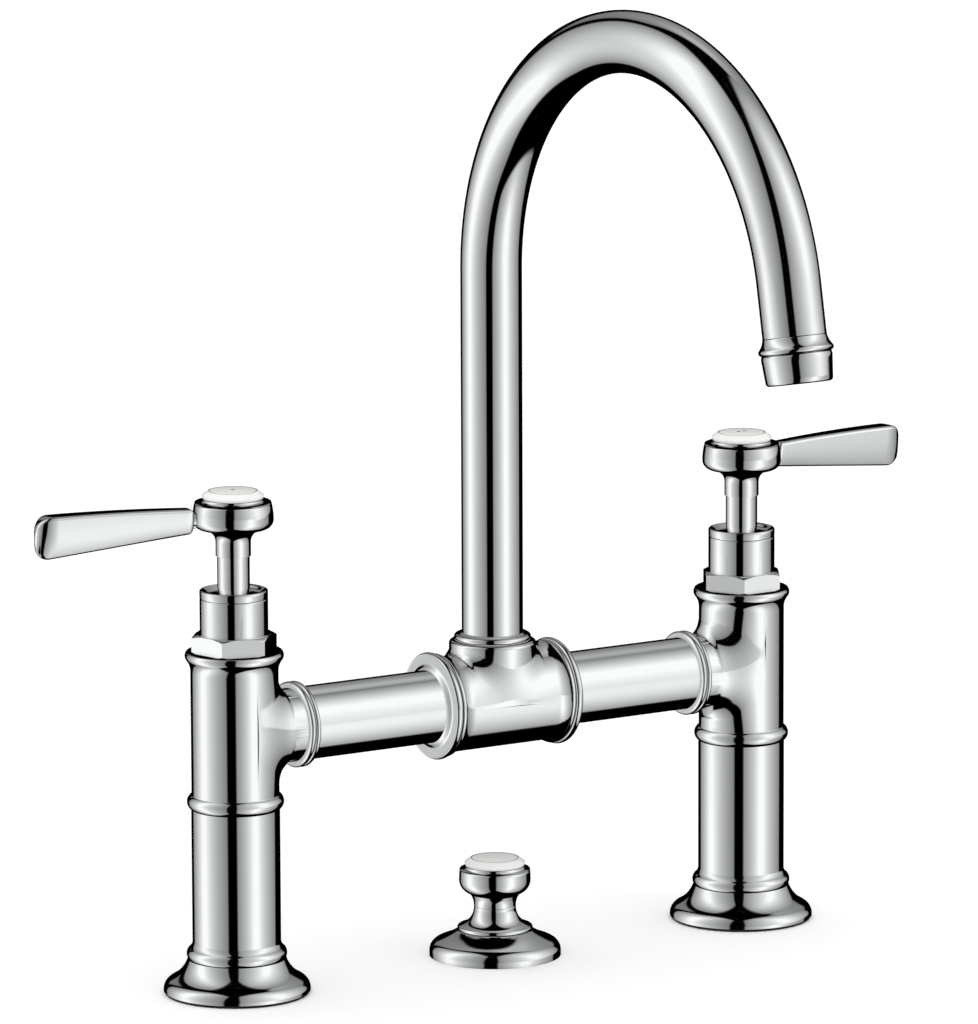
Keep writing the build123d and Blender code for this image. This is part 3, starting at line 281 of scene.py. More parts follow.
def glazed_porcelain(name, centre, dots):
    """White glaze over fired clay, with a fine printed ring and a few plain dots."""
    material, tree = new_material(name)
    where = add(tree, "ShaderNodeTexCoord").outputs["Object"]
    shift = Vector((-centre[0], -centre[1], 0))
    local = add(tree, "ShaderNodeMapping", Vector=where, Location=shift).outputs["Vector"]
    split = add(tree, "ShaderNodeSeparateXYZ", Vector=local)
    flat = add(tree, "ShaderNodeCombineXYZ", X=split.outputs["X"], Y=split.outputs["Y"]).outputs["Vector"]
    reach = add(tree, "ShaderNodeVectorMath", {"operation": "LENGTH"}, _0=flat).outputs["Value"]
    marks = [ink(tree, reach, RING_RADIUS, RING_LINE / 2)]
    for place in dots:
        away = add(tree, "ShaderNodeVectorMath", {"operation": "DISTANCE"}, _0=flat, _1=(place, 0, 0))
        marks.append(ink(tree, away.outputs["Value"], 0.0, DOT_SIZE / 2))
    total = marks[0]
    for mark in marks[1:]:
        total = add(tree, MATH, {"operation": "MAXIMUM"}, _0=total, _1=mark)
    tint = add(
        tree, "ShaderNodeMix", {"data_type": "RGBA"}, _0=total, _6=linear(GLAZE), _7=linear(INK)
    )
    shader = add(
        tree,
        "ShaderNodeBsdfPrincipled",
        Base_Color=tint.outputs[2],
        Roughness=GLAZE_ROUGHNESS,
        Specular_IOR_Level=GLAZE_GLOSS,
    )
    return finish_material(material, tree, shader)


# %% The finishes by slot
finishes = {
    # buffed and plated: a mirror
    "chrome": polished_chrome(),
    # turned: warm, with fine tool marks that blur what it mirrors
    "brass": speckled("machined_brass", "#c9a256", "#a8843f", 0.8 * MM, 1.0, 0.3, 0.004 * MM),
    # turned or pressed: a cool grey, a little duller
    "steel": speckled("stainless_steel", "#b9bbbd", "#9a9c9f", 0.5 * MM, 1.0, 0.35, 0.003 * MM),
    # moulded: nearly black, with no gloss
    "rubber": speckled("moulded_black_rubber", "#1d1d1d", "#121212", 0.6 * MM, 0.0, 0.75, 0.01 * MM),
    # lapped flat: pale, even and smooth
    "ceramic": speckled("lapped_alumina", "#eeebe2", "#e4e0d5", 0.4 * MM, 0.0, 0.35, 0.001 * MM),
    # moulded: a white that is faintly waxy
    "plastic": speckled("moulded_acetal", "#e6e6e3", "#dcdcd8", 1.2 * MM, 0.0, 0.4, 0.004 * MM),
}
slot_of = {part["node"]: part["material_slot"] for part in frame["record"]["subparts"]}
print("finishes:", sorted(finishes), "slots:", sorted(set(slot_of.values())))

# %% [markdown]
# ## Smooth skins
#
# The CAD solids arrive as loose triangles, and a mirror shows every one of them. Each solid
# gets a skin: a copy of its mesh with the doubles merged and its curved faces shaded smooth,
# while true edges stay sharp. Averaged normals are still a little off, because a long
# cylinder and its small edge rounding share them. So they are weighted by the faces' area
# and angle, and then corrected by what a lathe can make: a turned face never leans to the
# side around its axis, and a tube's face looks straight away from the tube's line. The skin
# stands for its solid and rides on the same body.

# %% Which axis turned which piece
standing = ["base_flange", "stand_tube", "valve_body", "headwork", "gland_cap", "stem_sleeve", "spindle"]
standing += ["handle_hub", "handle_screw", "index_disc", "shank"]
lying = ["port_ring", "bridge_arm", "tee_ring"]
axes = {side + "_" + piece: [(pillars[side], UP)] for side in pillars for piece in standing}
for side in pillars:
    axes[side + "_valve_body"].append((Vector((0, 0, bridge_height)), ACROSS))
    for piece in lying:
        axes[side + "_" + piece] = [(Vector((0, 0, bridge_height)), ACROSS)]
axes["tee_body"] = [(neck, UP), (Vector((0, 0, bridge_height)), ACROSS)]
for piece in ("rosette", "rod_guide", "guide_nut", "pull_knob", "knob_disc", "pull_rod"):
    axes[piece] = [(knob, UP)]
for piece in ("outlet_socket", "aerator_housing", "aerator_seal"):
    axes[piece] = [(tube_end, outflow)]
for piece in ("spout_bearing", "spout_seals", "spout_spigot"):
    axes[piece] = [(neck, UP)]
branched = {"cold_valve_body", "hot_valve_body", "tee_body"}
print("pieces with a lathe axis:", len(axes))


# %% Directions around an axis and away from a line
def unit(rows):
    return rows / np.maximum(np.linalg.norm(rows, axis=1, keepdims=True), 1e-12)


def away_from(places, axis):
    """The direction straight away from an axis at each place."""
    point, along = np.array(axis[0]), np.array(axis[1])
    reach = places - point
    return unit(reach - np.outer(reach @ along, along))


def away_from_spout_line(places):
    """The direction straight away from the riser, the bend or the straight end."""
    reach = places - np.array(bend_centre)
    back, high = -reach @ np.array(forward), reach @ np.array(UP)
    turned = np.arctan2(high, back)
    on_bend = np.outer(-np.cos(turned), forward) + np.outer(np.sin(turned), UP)
    bend = unit(reach - on_bend * BEND_RADIUS)
    riser = away_from(places, (bend_start, UP))
    end = away_from(places, (tube_end, outflow))
    before = places[:, 2] < bend_start.z
    toward = (places - np.array(bend_centre)) @ np.array(forward) > 0
    after = toward & ((places - np.array(bend_end)) @ np.array(outflow) > 0)
    before &= ~toward
    return np.where(after[:, None], end, np.where(before[:, None], riser, bend))


# %% Read a mesh as arrays
def arrays(mesh):
    """Corner places, corner normals, vertex of each corner, and face middles, normals and areas."""
    corners, faces = len(mesh.loops), len(mesh.polygons)
    vertex = np.zeros(corners, np.int64)
    mesh.loops.foreach_get("vertex_index", vertex)
    co = np.zeros(len(mesh.vertices) * 3)
    mesh.vertices.foreach_get("co", co)
    normal = np.zeros(corners * 3)
    mesh.corner_normals.foreach_get("vector", normal)
    middles, facing, areas = np.zeros(faces * 3), np.zeros(faces * 3), np.zeros(faces)
    mesh.polygons.foreach_get("center", middles)
    mesh.polygons.foreach_get("normal", facing)
    mesh.polygons.foreach_get("area", areas)
    places = co.reshape(-1, 3)[vertex]
    return places, normal.reshape(-1, 3), vertex, middles.reshape(-1, 3), facing.reshape(-1, 3), areas


# %% Correct the normals
SHARP_ANGLE = radians(34)
SIDEWAYS = 0.06
LONG_FACE = 0.8 * MM * MM
OFF_LINE = radians(10)
WIDEST_FACE = radians(30)
ON_SURFACE = 0.2 * MM
FACES_OUT = 0.9
SAME_NORMAL = 200


def narrow(away):
    """True for the faces that reach only a little way around, so not for a nut's flats."""
    first, second, third = away[0::3], away[1::3], away[2::3]
    return np.minimum((first * second).sum(1), (first * third).sum(1)) > cos(WIDEST_FACE)


def lathe_normals(mesh, lathe, branched):
    """Normals that no longer lean around the axis that turned each face. A long face also gives
    its slope to its corners, and a nut's flats stay flat. On a branched body only the long faces
    are put right."""
    places, normals, vertex, middles, facing, areas = arrays(mesh)
    outward = [away_from(middles, axis) for axis in lathe]
    lean = [np.abs((np.cross(np.array(axis[1]), out) * facing).sum(1)) for axis, out in zip(lathe, outward)]
    best, least = np.argmin(lean, axis=0), np.min(lean, axis=0)
    long = areas > LONG_FACE
    flat = np.repeat(long & ~((least < SIDEWAYS) & narrow(away_from(places, lathe[0]))), 3)
    true, weight = np.zeros_like(normals), np.zeros(len(vertex))
    for number, axis in enumerate(lathe):
        along = np.array(axis[1])
        away = away_from(places, axis)
        fits = (best == number) & (least < SIDEWAYS) & narrow(away)
        fits = np.repeat(fits, 3)
        side = np.cross(along, away)
        slope = np.repeat(facing @ along, 3)
        turned = away * np.sqrt(1 - np.minimum(slope**2, 1))[:, None]
        turned *= np.sign((away * np.repeat(facing, 3, axis=0)).sum(1))[:, None]
        turned += np.outer(slope, along)
        use = fits & np.repeat(long, 3)
        true[use] = turned[use]
        weight[use] = np.repeat(areas, 3)[use]
        if not branched:
            upright = unit(normals - side * (normals * side).sum(1, keepdims=True))
            normals = np.where(fits[:, None], upright, normals)
    shared = share_normals(vertex, normals, true, weight)
    return shared if branched else np.where(flat[:, None], np.repeat(facing, 3, axis=0), shared)


def share_normals(vertex, normals, true, weight):
    """Corners that shared a normal share the true one of the long faces among them. A normal's
    three parts are rounded to steps, and the steps and the vertex make one key."""
    step = np.round(normals * SAME_NORMAL).astype(np.int64) + SAME_NORMAL + 1
    span = 2 * SAME_NORMAL + 3
    key = ((vertex * span + step[:, 0]) * span + step[:, 1]) * span + step[:, 2]
    _, group = np.unique(key, return_inverse=True)
    total = np.stack([np.bincount(group, true[:, axis] * weight) for axis in range(3)], axis=1)
    found = np.linalg.norm(total, axis=1) > 0
    shared = unit(total)[group]
    return np.where(found[group][:, None], shared, normals)


def saddle_normals(mesh, normals, joint):
    """The joined surface's own normals on the faces that lie on it."""
    places, _, _, middles, facing, _ = arrays(mesh)
    out = slope(middles, joint)
    on = (np.abs(joined(middles, joint)) < ON_SURFACE) & ((out * facing).sum(1) > FACES_OUT)
    _, ahead, along, _ = joined(middles, joint, blend=False)
    on &= (ahead > 0) & (ahead < joint["end"]) & (along > joint["low"]) & (along < joint["high"])
    return np.where(np.repeat(on, 3)[:, None], slope(places, joint), normals)


def tube_normals(mesh):
    """Normals of the tube's round faces, straight away from the spout's line."""
    places, normals, vertex, middles, facing, areas = arrays(mesh)
    lean = (away_from_spout_line(middles) * facing).sum(1)
    fits = np.repeat(np.abs(lean) > cos(OFF_LINE), 3)
    true = away_from_spout_line(places) * np.repeat(np.sign(lean), 3)[:, None]
    return share_normals(vertex, normals, true, fits * np.repeat(areas, 3))


# %% [markdown]
# ## Soft saddles
#
# Where a branch leaves a body, the casting has a wide soft saddle, and buffing softens it more.
# The CAD has an even fillet of 3 to 4 mm there. The skin gets the wider, softer form: the two
# round forms are described by their distance functions, and a smooth minimum of the two is the
# surface that runs from one into the other. The faces near the joint are split until they are
# about a millimetre long, and their corners are moved out on that surface. Cutting slivers
# leaves twin faces, which are taken out. The surface's slope also gives the normals, so the
# mirror finish shows no facets.

# %% The three joints
BODY_RADIUS, BRANCH_RADIUS, BODY_BLEND = 15.2 * MM, 12.8 * MM, 7.5 * MM
TEE_RADIUS, NECK_RADIUS, NECK_BLEND = 16.9 * MM, 15.3 * MM, 4.5 * MM
SPLIT_LENGTH = 1.2 * MM
SPLIT_ROUNDS, MOVE_ROUNDS, TWIN_ROUNDS = 7, 5, 3
SLIVER = 0.002 * MM
BELOW_SURFACE, ABOVE_SURFACE, PAST_BLEND = 0.15 * MM, 1.6 * MM, 0.5 * MM
FADE_SHARE = 0.2
bridge_axis = (Vector((0, 0, bridge_height)), ACROSS)
saddles = {}
for side, inward in (("cold", ACROSS), ("hot", -ACROSS)):
    saddles[side + "_valve_body"] = {
        "main": (pillars[side], UP, BODY_RADIUS), "branch": (*bridge_axis, BRANCH_RADIUS), "toward": inward,
        "blend": BODY_BLEND, "start": 16.0 * MM, "end": 20.6 * MM, "low": -20.5 * MM, "high": 20.5 * MM,
    }
saddles["tee_body"] = {
    "main": (*bridge_axis, TEE_RADIUS), "branch": (neck, UP, NECK_RADIUS), "toward": UP,
    "blend": NECK_BLEND, "start": 16.5 * MM, "end": 19.8 * MM, "low": -17.4 * MM, "high": 17.4 * MM,
}
print("soft saddles:", sorted(saddles))


# %% Distance from the joined surface
def smooth_step(value):
    value = np.clip(value, 0.0, 1.0)
    return value * value * (3 - 2 * value)


def off_axis(places, part):
    """How far each place lies outside a round part's surface."""
    point, along = np.array(part[0]), np.array(part[1])
    reach = places - point
    return np.linalg.norm(reach - np.outer(reach @ along, along), axis=1) - part[2]


def joined(places, joint, blend=True):
    """Distance outside both forms, with the soft saddle between them."""
    centre = np.array((joint["main"][0].x, joint["main"][0].y, bridge_height))
    ahead = (places - centre) @ np.array(joint["toward"])
    along = (places - centre) @ np.array(joint["main"][1])
    first, second = off_axis(places, joint["main"]), off_axis(places, joint["branch"])
    second = np.where(ahead > 0, second, 1.0)
    if not blend:
        return np.minimum(first, second), ahead, along, np.abs(first - second)
    reach = joint["blend"] * smooth_step((joint["end"] - ahead) / (joint["end"] - joint["start"]))
    for edge, sign in ((joint["low"], 1), (joint["high"], -1)):
        reach = reach * smooth_step((along - edge) * sign / (joint["high"] * FADE_SHARE))
    share = np.maximum(reach - np.abs(first - second), 0) / np.maximum(reach, 1e-9)
    return np.minimum(first, second) - share**2 * reach / 4


def slope(places, joint):
    """The direction straight out of the joined surface."""
    step = 0.01 * MM
    rise = [joined(places + step * axis, joint) - joined(places - step * axis, joint) for axis in np.eye(3)]
    return unit(np.stack(rise, axis=1))


def near_joint(places, joint):
    """True for places on the outside of the body near its joint."""
    outside, ahead, along, apart = joined(places, joint, blend=False)
    fits = (outside > -BELOW_SURFACE) & (outside < ABOVE_SURFACE) & (apart < joint["blend"] + PAST_BLEND)
    return fits & (ahead > 0) & (ahead < joint["end"]) & (along > joint["low"]) & (along < joint["high"])


def drop_twins(work):
    """Take out pairs of faces that lie on each other, which a sliver leaves when it is cut."""
    for _ in range(TWIN_ROUNDS):
        work.verts.index_update()
        seen = {}
        for face in work.faces:
            seen.setdefault(frozenset(vertex.index for vertex in face.verts), []).append(face)
        twins = [face for faces in seen.values() if len(faces) == 2 for face in faces]
        if not twins:
            return
        bmesh.ops.delete(work, geom=twins, context="FACES_ONLY")
        loose = [edge for edge in work.edges if not edge.link_faces]
        bmesh.ops.delete(work, geom=loose, context="EDGES")


def soften(work, joint):
    """Split the faces near a joint and move their corners out to its soft saddle."""
    for _ in range(SPLIT_ROUNDS):
        middles = np.array([(edge.verts[0].co + edge.verts[1].co) / 2 for edge in work.edges])
        fits = near_joint(middles, joint)
        long = [edge for edge, use in zip(work.edges, fits) if use and edge.calc_length() > SPLIT_LENGTH]
        if not long:
            break
        bmesh.ops.subdivide_edges(work, edges=long, cuts=1)
        bmesh.ops.triangulate(work, faces=[face for face in work.faces if len(face.verts) > 3])
    bmesh.ops.dissolve_degenerate(work, edges=work.edges, dist=SLIVER)
    bmesh.ops.triangulate(work, faces=[face for face in work.faces if len(face.verts) > 3])
    drop_twins(work)
    places = np.array([vertex.co for vertex in work.verts])
    fits = near_joint(places, joint)
    moved = places[fits]
    for _ in range(MOVE_ROUNDS):
        moved = moved - slope(moved, joint) * joined(moved, joint)[:, None]
    for vertex, place in zip([v for v, use in zip(work.verts, fits) if use], moved):
        vertex.co = place


# %% [markdown]
# ## Levers
#
# The CAD lever is a paddle with one rounding all the way round, which is all that a rigid part
# needs. The real one was forged and then ground on a belt, and its shape shows in what it
# mirrors: the face stands upright along the top and curves under towards the lower edge, and
# the end closes in a blunt ellipse. A form like that is made as a row of sections. Each section
# is a closed ring of points, and neighbouring rings are joined by a band of faces. From the
# side it has nearly the outline of the CAD lever, and its tip ends a little inside that box.

# %% A lever's sizes
LEVER_TURN = {"cold": radians(11.5), "hot": radians(4.7)}
LEVER_REACH = 71.5 * MM
TIP = 69.9 * MM
SHOULDER = 15.3 * MM
ROOT = 10.5 * MM
ROOT_TOP, ROOT_BOTTOM = 171.4 * MM, 162.5 * MM
TIP_TOP, TIP_BOTTOM = 172.2 * MM, 156.8 * MM
TOP_BOW = 0.5 * MM
ROOT_HALF, TIP_HALF = 3.2 * MM, 4.4 * MM
TIP_CORNER = 5.0 * MM
TIP_ROUND = 7.7 * MM
ROOT_START, ROOT_ROUND = 14.7 * MM, 1.6 * MM
CROWN_ROUND, CROWN_RISE = 1.1 * MM, 0.1 * MM
KEEL_ROUND = 1.5 * MM
UNDER = radians(31)
NECK_STEP = 1.9 * MM
HUB_RADIUS = 13.95 * MM
STUD_RADIUS, STUD_HEIGHT = 2.0 * MM, 166.9 * MM
STUD_START, STUD_END = 10.1 * MM, 15.9 * MM
NECK_BURIED = 0.5 * MM
TOP_STEPS, EDGE_STEPS, FACE_STEPS = 3, 6, 12
ROOT_RINGS, RUN_RINGS, TIP_RINGS = 6, 24, 40
STUD_SIDES = 32
print("the levers reach", LEVER_REACH / MM, "mm and are", round(2 * TIP_HALF / MM, 1), "mm thick at the tip")


# %% Sections of a lever
def ring(half, top, bottom, under, share=1.0):
    """One section as (across, height) points. Its face stands upright at the top and curves
    under by that angle, its edges are rounded, and its back mirrors its face. share is how much
    of the full thickness is left where the end closes."""
    depth = top - bottom
    crown = min(CROWN_ROUND, half * 0.5, depth * 0.2)
    rise = CROWN_RISE * half / TIP_HALF
    keel = min(KEEL_ROUND, half * 0.45, depth * 0.2)
    inward = (depth - crown - keel) * (1 - cos(under)) / sin(under) * share if under else 0.0
    bend = max(under, 0.001)
    foot = max(half - inward, keel * cos(under))
    upper, lower = top - rise - crown, bottom + keel * (1 - sin(under))
    points = []
    for step in range(TOP_STEPS + 1):
        out = step / TOP_STEPS
        points.append(((half - crown) * out, top - rise * out**2))
    for step in range(1, EDGE_STEPS + 1):
        turn = pi / 2 * (1 - step / EDGE_STEPS)
        points.append((half - crown + crown * cos(turn), upper + crown * sin(turn)))
    for step in range(1, FACE_STEPS):
        turn = bend * step / FACE_STEPS
        down = sin(turn) / sin(bend)
        sideways = (1 - cos(turn)) / (1 - cos(bend))
        points.append((half - (half - foot) * sideways, upper - (upper - lower) * down))
    for step in range(EDGE_STEPS + 1):
        turn = -under - (pi / 2 - under) * step / EDGE_STEPS
        points.append((foot - keel * cos(under) + keel * cos(turn), bottom + keel + keel * sin(turn)))
    points.append((0.0, bottom))
    return points + [(-across, height) for across, height in points[-2:0:-1]]


def lever_ring(distance, inset=0.0):
    """The ring at a distance from the pillar. inset makes it smaller all round."""
    share = (distance - SHOULDER) / (TIP - SHOULDER)
    top = ROOT_TOP + (TIP_TOP - ROOT_TOP) * share + 4 * TOP_BOW * share * (1 - share)
    bottom = ROOT_BOTTOM + (TIP_BOTTOM - ROOT_BOTTOM) * share
    half = ROOT_HALF + (TIP_HALF - ROOT_HALF) * (distance - ROOT) / (LEVER_REACH - ROOT)
    middle_height = (TIP_TOP - TIP_BOTTOM) / 2
    bulge = (middle_height**2 + (LEVER_REACH - TIP) ** 2) / 2 / (LEVER_REACH - TIP)
    into_end = distance - LEVER_REACH + bulge
    flank = middle_height - TIP_CORNER
    corner = LEVER_REACH - bulge + ((bulge - TIP_CORNER) ** 2 - flank**2) ** 0.5
    corner_end = corner + TIP_CORNER * (corner - LEVER_REACH + bulge) / (bulge - TIP_CORNER)
    if distance > corner_end:
        drop = middle_height - max(bulge**2 - into_end**2, 0.0) ** 0.5
    elif distance > corner:
        drop = TIP_CORNER - (TIP_CORNER**2 - (distance - corner) ** 2) ** 0.5
    else:
        drop = 0.0
    drop *= (top - bottom) / (2 * middle_height)
    closing = max(distance - (LEVER_REACH - TIP_ROUND), 0.0) / TIP_ROUND
    left = (1 - closing**2) ** 0.5
    return ring(half * left - inset, top - drop - inset, bottom + drop + inset, UNDER, left)


# %% Join the sections
def lever_mesh(side):
    """A lever with its neck and stud, as three closed forms in one mesh."""
    turn = LEVER_TURN[side]
    along = Vector((cos(turn) if side == "hot" else -cos(turn), sin(turn), 0))
    across = along.cross(UP)
    base = Vector((pillars[side].x, pillars[side].y, 0))
    work = bmesh.new()

    def place(distance, point):
        return work.verts.new(base + along * distance + across * point[0] + UP * point[1])

    def loft(rings, pole=None):
        """Join (distances, points) rings by bands and close both ends."""
        rows = [[place(far, point) for far, point in zip(fars, points)] for fars, points in rings]
        for first, second in zip(rows, rows[1:]):
            for index in range(len(first)):
                work.faces.new((first[index - 1], first[index], second[index], second[index - 1]))
        work.faces.new(reversed(rows[0]))
        if pole is None:
            work.faces.new(rows[-1])
            return
        end = place(*pole)
        for index in range(len(rows[-1])):
            work.faces.new((rows[-1][index - 1], rows[-1][index], end))

    def even(distance, points):
        return [distance] * len(points), points

    rings = []
    for step in range(ROOT_RINGS + 1):
        turned = pi / 2 * step / ROOT_RINGS
        distance = ROOT_START + ROOT_ROUND * (1 - cos(turned))
        rings.append(even(distance, lever_ring(distance, ROOT_ROUND * (1 - sin(turned)))))
    start = ROOT_START + ROOT_ROUND
    run = LEVER_REACH - TIP_ROUND - start
    for step in range(1, RUN_RINGS + 1):
        distance = start + run * step / RUN_RINGS
        rings.append(even(distance, lever_ring(distance)))
    for step in range(1, TIP_RINGS):
        distance = LEVER_REACH - TIP_ROUND * (1 - sin(pi / 2 * step / TIP_RINGS))
        rings.append(even(distance, lever_ring(distance)))
    share = (LEVER_REACH - SHOULDER) / (TIP - SHOULDER)
    tip_top = ROOT_TOP + (TIP_TOP - ROOT_TOP) * share + 4 * TOP_BOW * share * (1 - share)
    tip_bottom = ROOT_BOTTOM + (TIP_BOTTOM - ROOT_BOTTOM) * share
    loft(rings, pole=(LEVER_REACH, (0.0, (tip_top + tip_bottom) / 2)))

    slim = ring(ROOT_HALF - NECK_STEP, ROOT_TOP - NECK_STEP, ROOT_BOTTOM + NECK_STEP, 0.0)
    at_hub = [(HUB_RADIUS**2 - point[0] ** 2) ** 0.5 for point in slim]
    loft([(at_hub, slim), even(SHOULDER + NECK_BURIED, slim)])

    turns = [2 * pi * step / STUD_SIDES for step in range(STUD_SIDES)]
    stud = [(STUD_RADIUS * sin(a), STUD_HEIGHT + STUD_RADIUS * cos(a)) for a in turns]
    loft([even(STUD_START, stud), even(STUD_END, stud)])
    bmesh.ops.recalc_face_normals(work, faces=work.faces)
    mesh = bpy.data.meshes.new(side + "_lever")
    work.to_mesh(mesh)
    work.free()
    return mesh


modelled = {side + "_lever": lever_mesh(side) for side in pillars}
print("lever faces:", {node: len(mesh.polygons) for node, mesh in modelled.items()})


# %% [markdown]
# ## The swan neck
#
# A bent tube is a circle that follows a line, and the line follows a rule: straight up, then
# round a bend of one radius, then a short straight end. Geometry Nodes can hold that rule. A
# straight line is cut into many points, each point's distance along it is turned into its place
# on the bent line, and two circles, one for the outside and one for the bore, are swept along.
# So the outline of the arch has steps of about a millimetre, too short to see in the mirror.
# The sizes are inputs of the tree, set as a pipe bender would be.

# %% The line's rule
TUBE_RADIUS = 10.75 * MM
TUBE_BORE = 9.55 * MM
STEPS_ALONG = 300
STEPS_AROUND = 96


def sweep_tree(material):
    """A tree that sweeps a tube along a riser, a bend and a straight end, from its foot."""
    tree = bpy.data.node_groups.new("swan_neck_sweep", "GeometryNodeTree")
    tree.interface.new_socket(name="Geometry", in_out="OUTPUT", socket_type="NodeSocketGeometry")
    for name in ("Riser", "Bend Radius", "Bend Angle", "Straight End", "Outer Radius", "Bore Radius"):
        tree.interface.new_socket(name=name, in_out="INPUT", socket_type="NodeSocketFloat")
    for name in ("Steps Along", "Steps Around"):
        tree.interface.new_socket(name=name, in_out="INPUT", socket_type="NodeSocketInt")
    size = tree.nodes.new("NodeGroupInput").outputs
    line = add(tree, "GeometryNodeCurvePrimitiveLine", End=(0, 0, 1)).outputs["Curve"]
    points = add(tree, "GeometryNodeResampleCurve", Curve=line, Count=size["Steps Along"]).outputs["Curve"]
    bend = add(tree, MATH, {"operation": "MULTIPLY"}, _0=size["Bend Radius"], _1=size["Bend Angle"])
    to_bend_end = add(tree, MATH, {"operation": "ADD"}, _0=size["Riser"], _1=bend)
    whole = add(tree, MATH, {"operation": "ADD"}, _0=to_bend_end, _1=size["Straight End"])
    share = tree.nodes.new("GeometryNodeSplineParameter").outputs["Factor"]
    done = add(tree, MATH, {"operation": "MULTIPLY"}, _0=share, _1=whole)
    past_riser = add(tree, MATH, {"operation": "SUBTRACT"}, _0=done, _1=size["Riser"])
    past_riser = add(tree, MATH, {"operation": "MAXIMUM"}, _0=past_riser, _1=0.0)
    past_bend = add(tree, MATH, {"operation": "SUBTRACT"}, _0=past_riser, _1=bend)
    past_bend = add(tree, MATH, {"operation": "MAXIMUM"}, _0=past_bend, _1=0.0)
    turned = add(tree, MATH, {"operation": "DIVIDE"}, _0=past_riser, _1=size["Bend Radius"])
    turned = add(tree, MATH, {"operation": "MINIMUM"}, _0=turned, _1=size["Bend Angle"])
    sine = add(tree, MATH, {"operation": "SINE"}, _0=turned)
    cosine = add(tree, MATH, {"operation": "COSINE"}, _0=turned)
    out = add(tree, MATH, {"operation": "SUBTRACT"}, _0=1.0, _1=cosine)
    out = add(tree, MATH, {"operation": "MULTIPLY"}, _0=size["Bend Radius"], _1=out)
    out = add(tree, MATH, {"operation": "MULTIPLY_ADD"}, _0=past_bend, _1=sine, _2=out)
    up_riser = add(tree, MATH, {"operation": "MINIMUM"}, _0=done, _1=size["Riser"])
    high = add(tree, MATH, {"operation": "MULTIPLY_ADD"}, _0=size["Bend Radius"], _1=sine, _2=up_riser)
    high = add(tree, MATH, {"operation": "MULTIPLY_ADD"}, _0=past_bend, _1=cosine, _2=high)
    place = add(tree, "ShaderNodeCombineXYZ", X=out, Z=high).outputs["Vector"]
    bent = add(tree, "GeometryNodeSetPosition", Geometry=points, Position=place).outputs["Geometry"]
    walls = []
    for radius in ("Outer Radius", "Bore Radius"):
        circle = add(
            tree, "GeometryNodeCurvePrimitiveCircle", Resolution=size["Steps Around"], Radius=size[radius]
        )
        wall = add(tree, "GeometryNodeCurveToMesh", Curve=bent, Profile_Curve=circle.outputs["Curve"])
        walls.append(wall.outputs["Mesh"])
    walls[1] = add(tree, "GeometryNodeFlipFaces", Mesh=walls[1]).outputs["Mesh"]
    both = tree.nodes.new("GeometryNodeJoinGeometry")
    for wall in walls:
        tree.links.new(wall, both.inputs["Geometry"])
    real = add(tree, "GeometryNodeRealizeInstances", Geometry=both.outputs["Geometry"]).outputs["Geometry"]
    plated = add(tree, "GeometryNodeSetMaterial", Geometry=real, Material=material).outputs["Geometry"]
    tree.links.new(plated, tree.nodes.new("NodeGroupOutput").inputs["Geometry"])
    return tree


# %% Sweep the tube
def swan_neck_mesh():
    thing = bpy.data.objects.new("swan_neck", bpy.data.meshes.new("swan_neck"))
    bpy.context.scene.collection.objects.link(thing)
    sweep = thing.modifiers.new("sweep", "NODES")
    sweep.node_group = sweep_tree(finishes["chrome"])
    sizes = {
        "Riser": RISER_LENGTH, "Bend Radius": BEND_RADIUS, "Bend Angle": BEND_ANGLE,
        "Straight End": END_STRAIGHT, "Outer Radius": TUBE_RADIUS, "Bore Radius": TUBE_BORE,
        "Steps Along": STEPS_ALONG, "Steps Around": STEPS_AROUND,
    }
    for item in sweep.node_group.interface.items_tree:
        if item.name in sizes:
            sweep[item.identifier] = sizes[item.name]
    ready = thing.evaluated_get(bpy.context.evaluated_depsgraph_get())
    mesh = bpy.data.meshes.new_from_object(ready)
    bpy.data.objects.remove(thing)
    foot = Vector((neck.x, neck.y, RISER_FOOT))
    columns = Matrix((forward, UP.cross(forward), UP)).transposed().to_4x4()
    mesh.transform(Matrix.Translation(foot) @ columns)
    return closed_ends(mesh)


def closed_ends(mesh):
    """Join the outer wall to the bore at both ends, and face everything outwards."""
    work = bmesh.new()
    work.from_mesh(mesh)
    rims = [edge for edge in work.edges if edge.is_boundary]
    for low in (True, False):
        at_foot = [edge for edge in rims if (edge.verts[0].co.z < bend_start.z - 50 * MM) == low]
        bmesh.ops.bridge_loops(work, edges=at_foot)
    bmesh.ops.triangulate(work, faces=work.faces)
    bmesh.ops.recalc_face_normals(work, faces=work.faces)
    work.to_mesh(mesh)
    work.free()
    return mesh


modelled["spout_tube"] = swan_neck_mesh()
print("swan neck triangles:", len(modelled["spout_tube"].polygons))


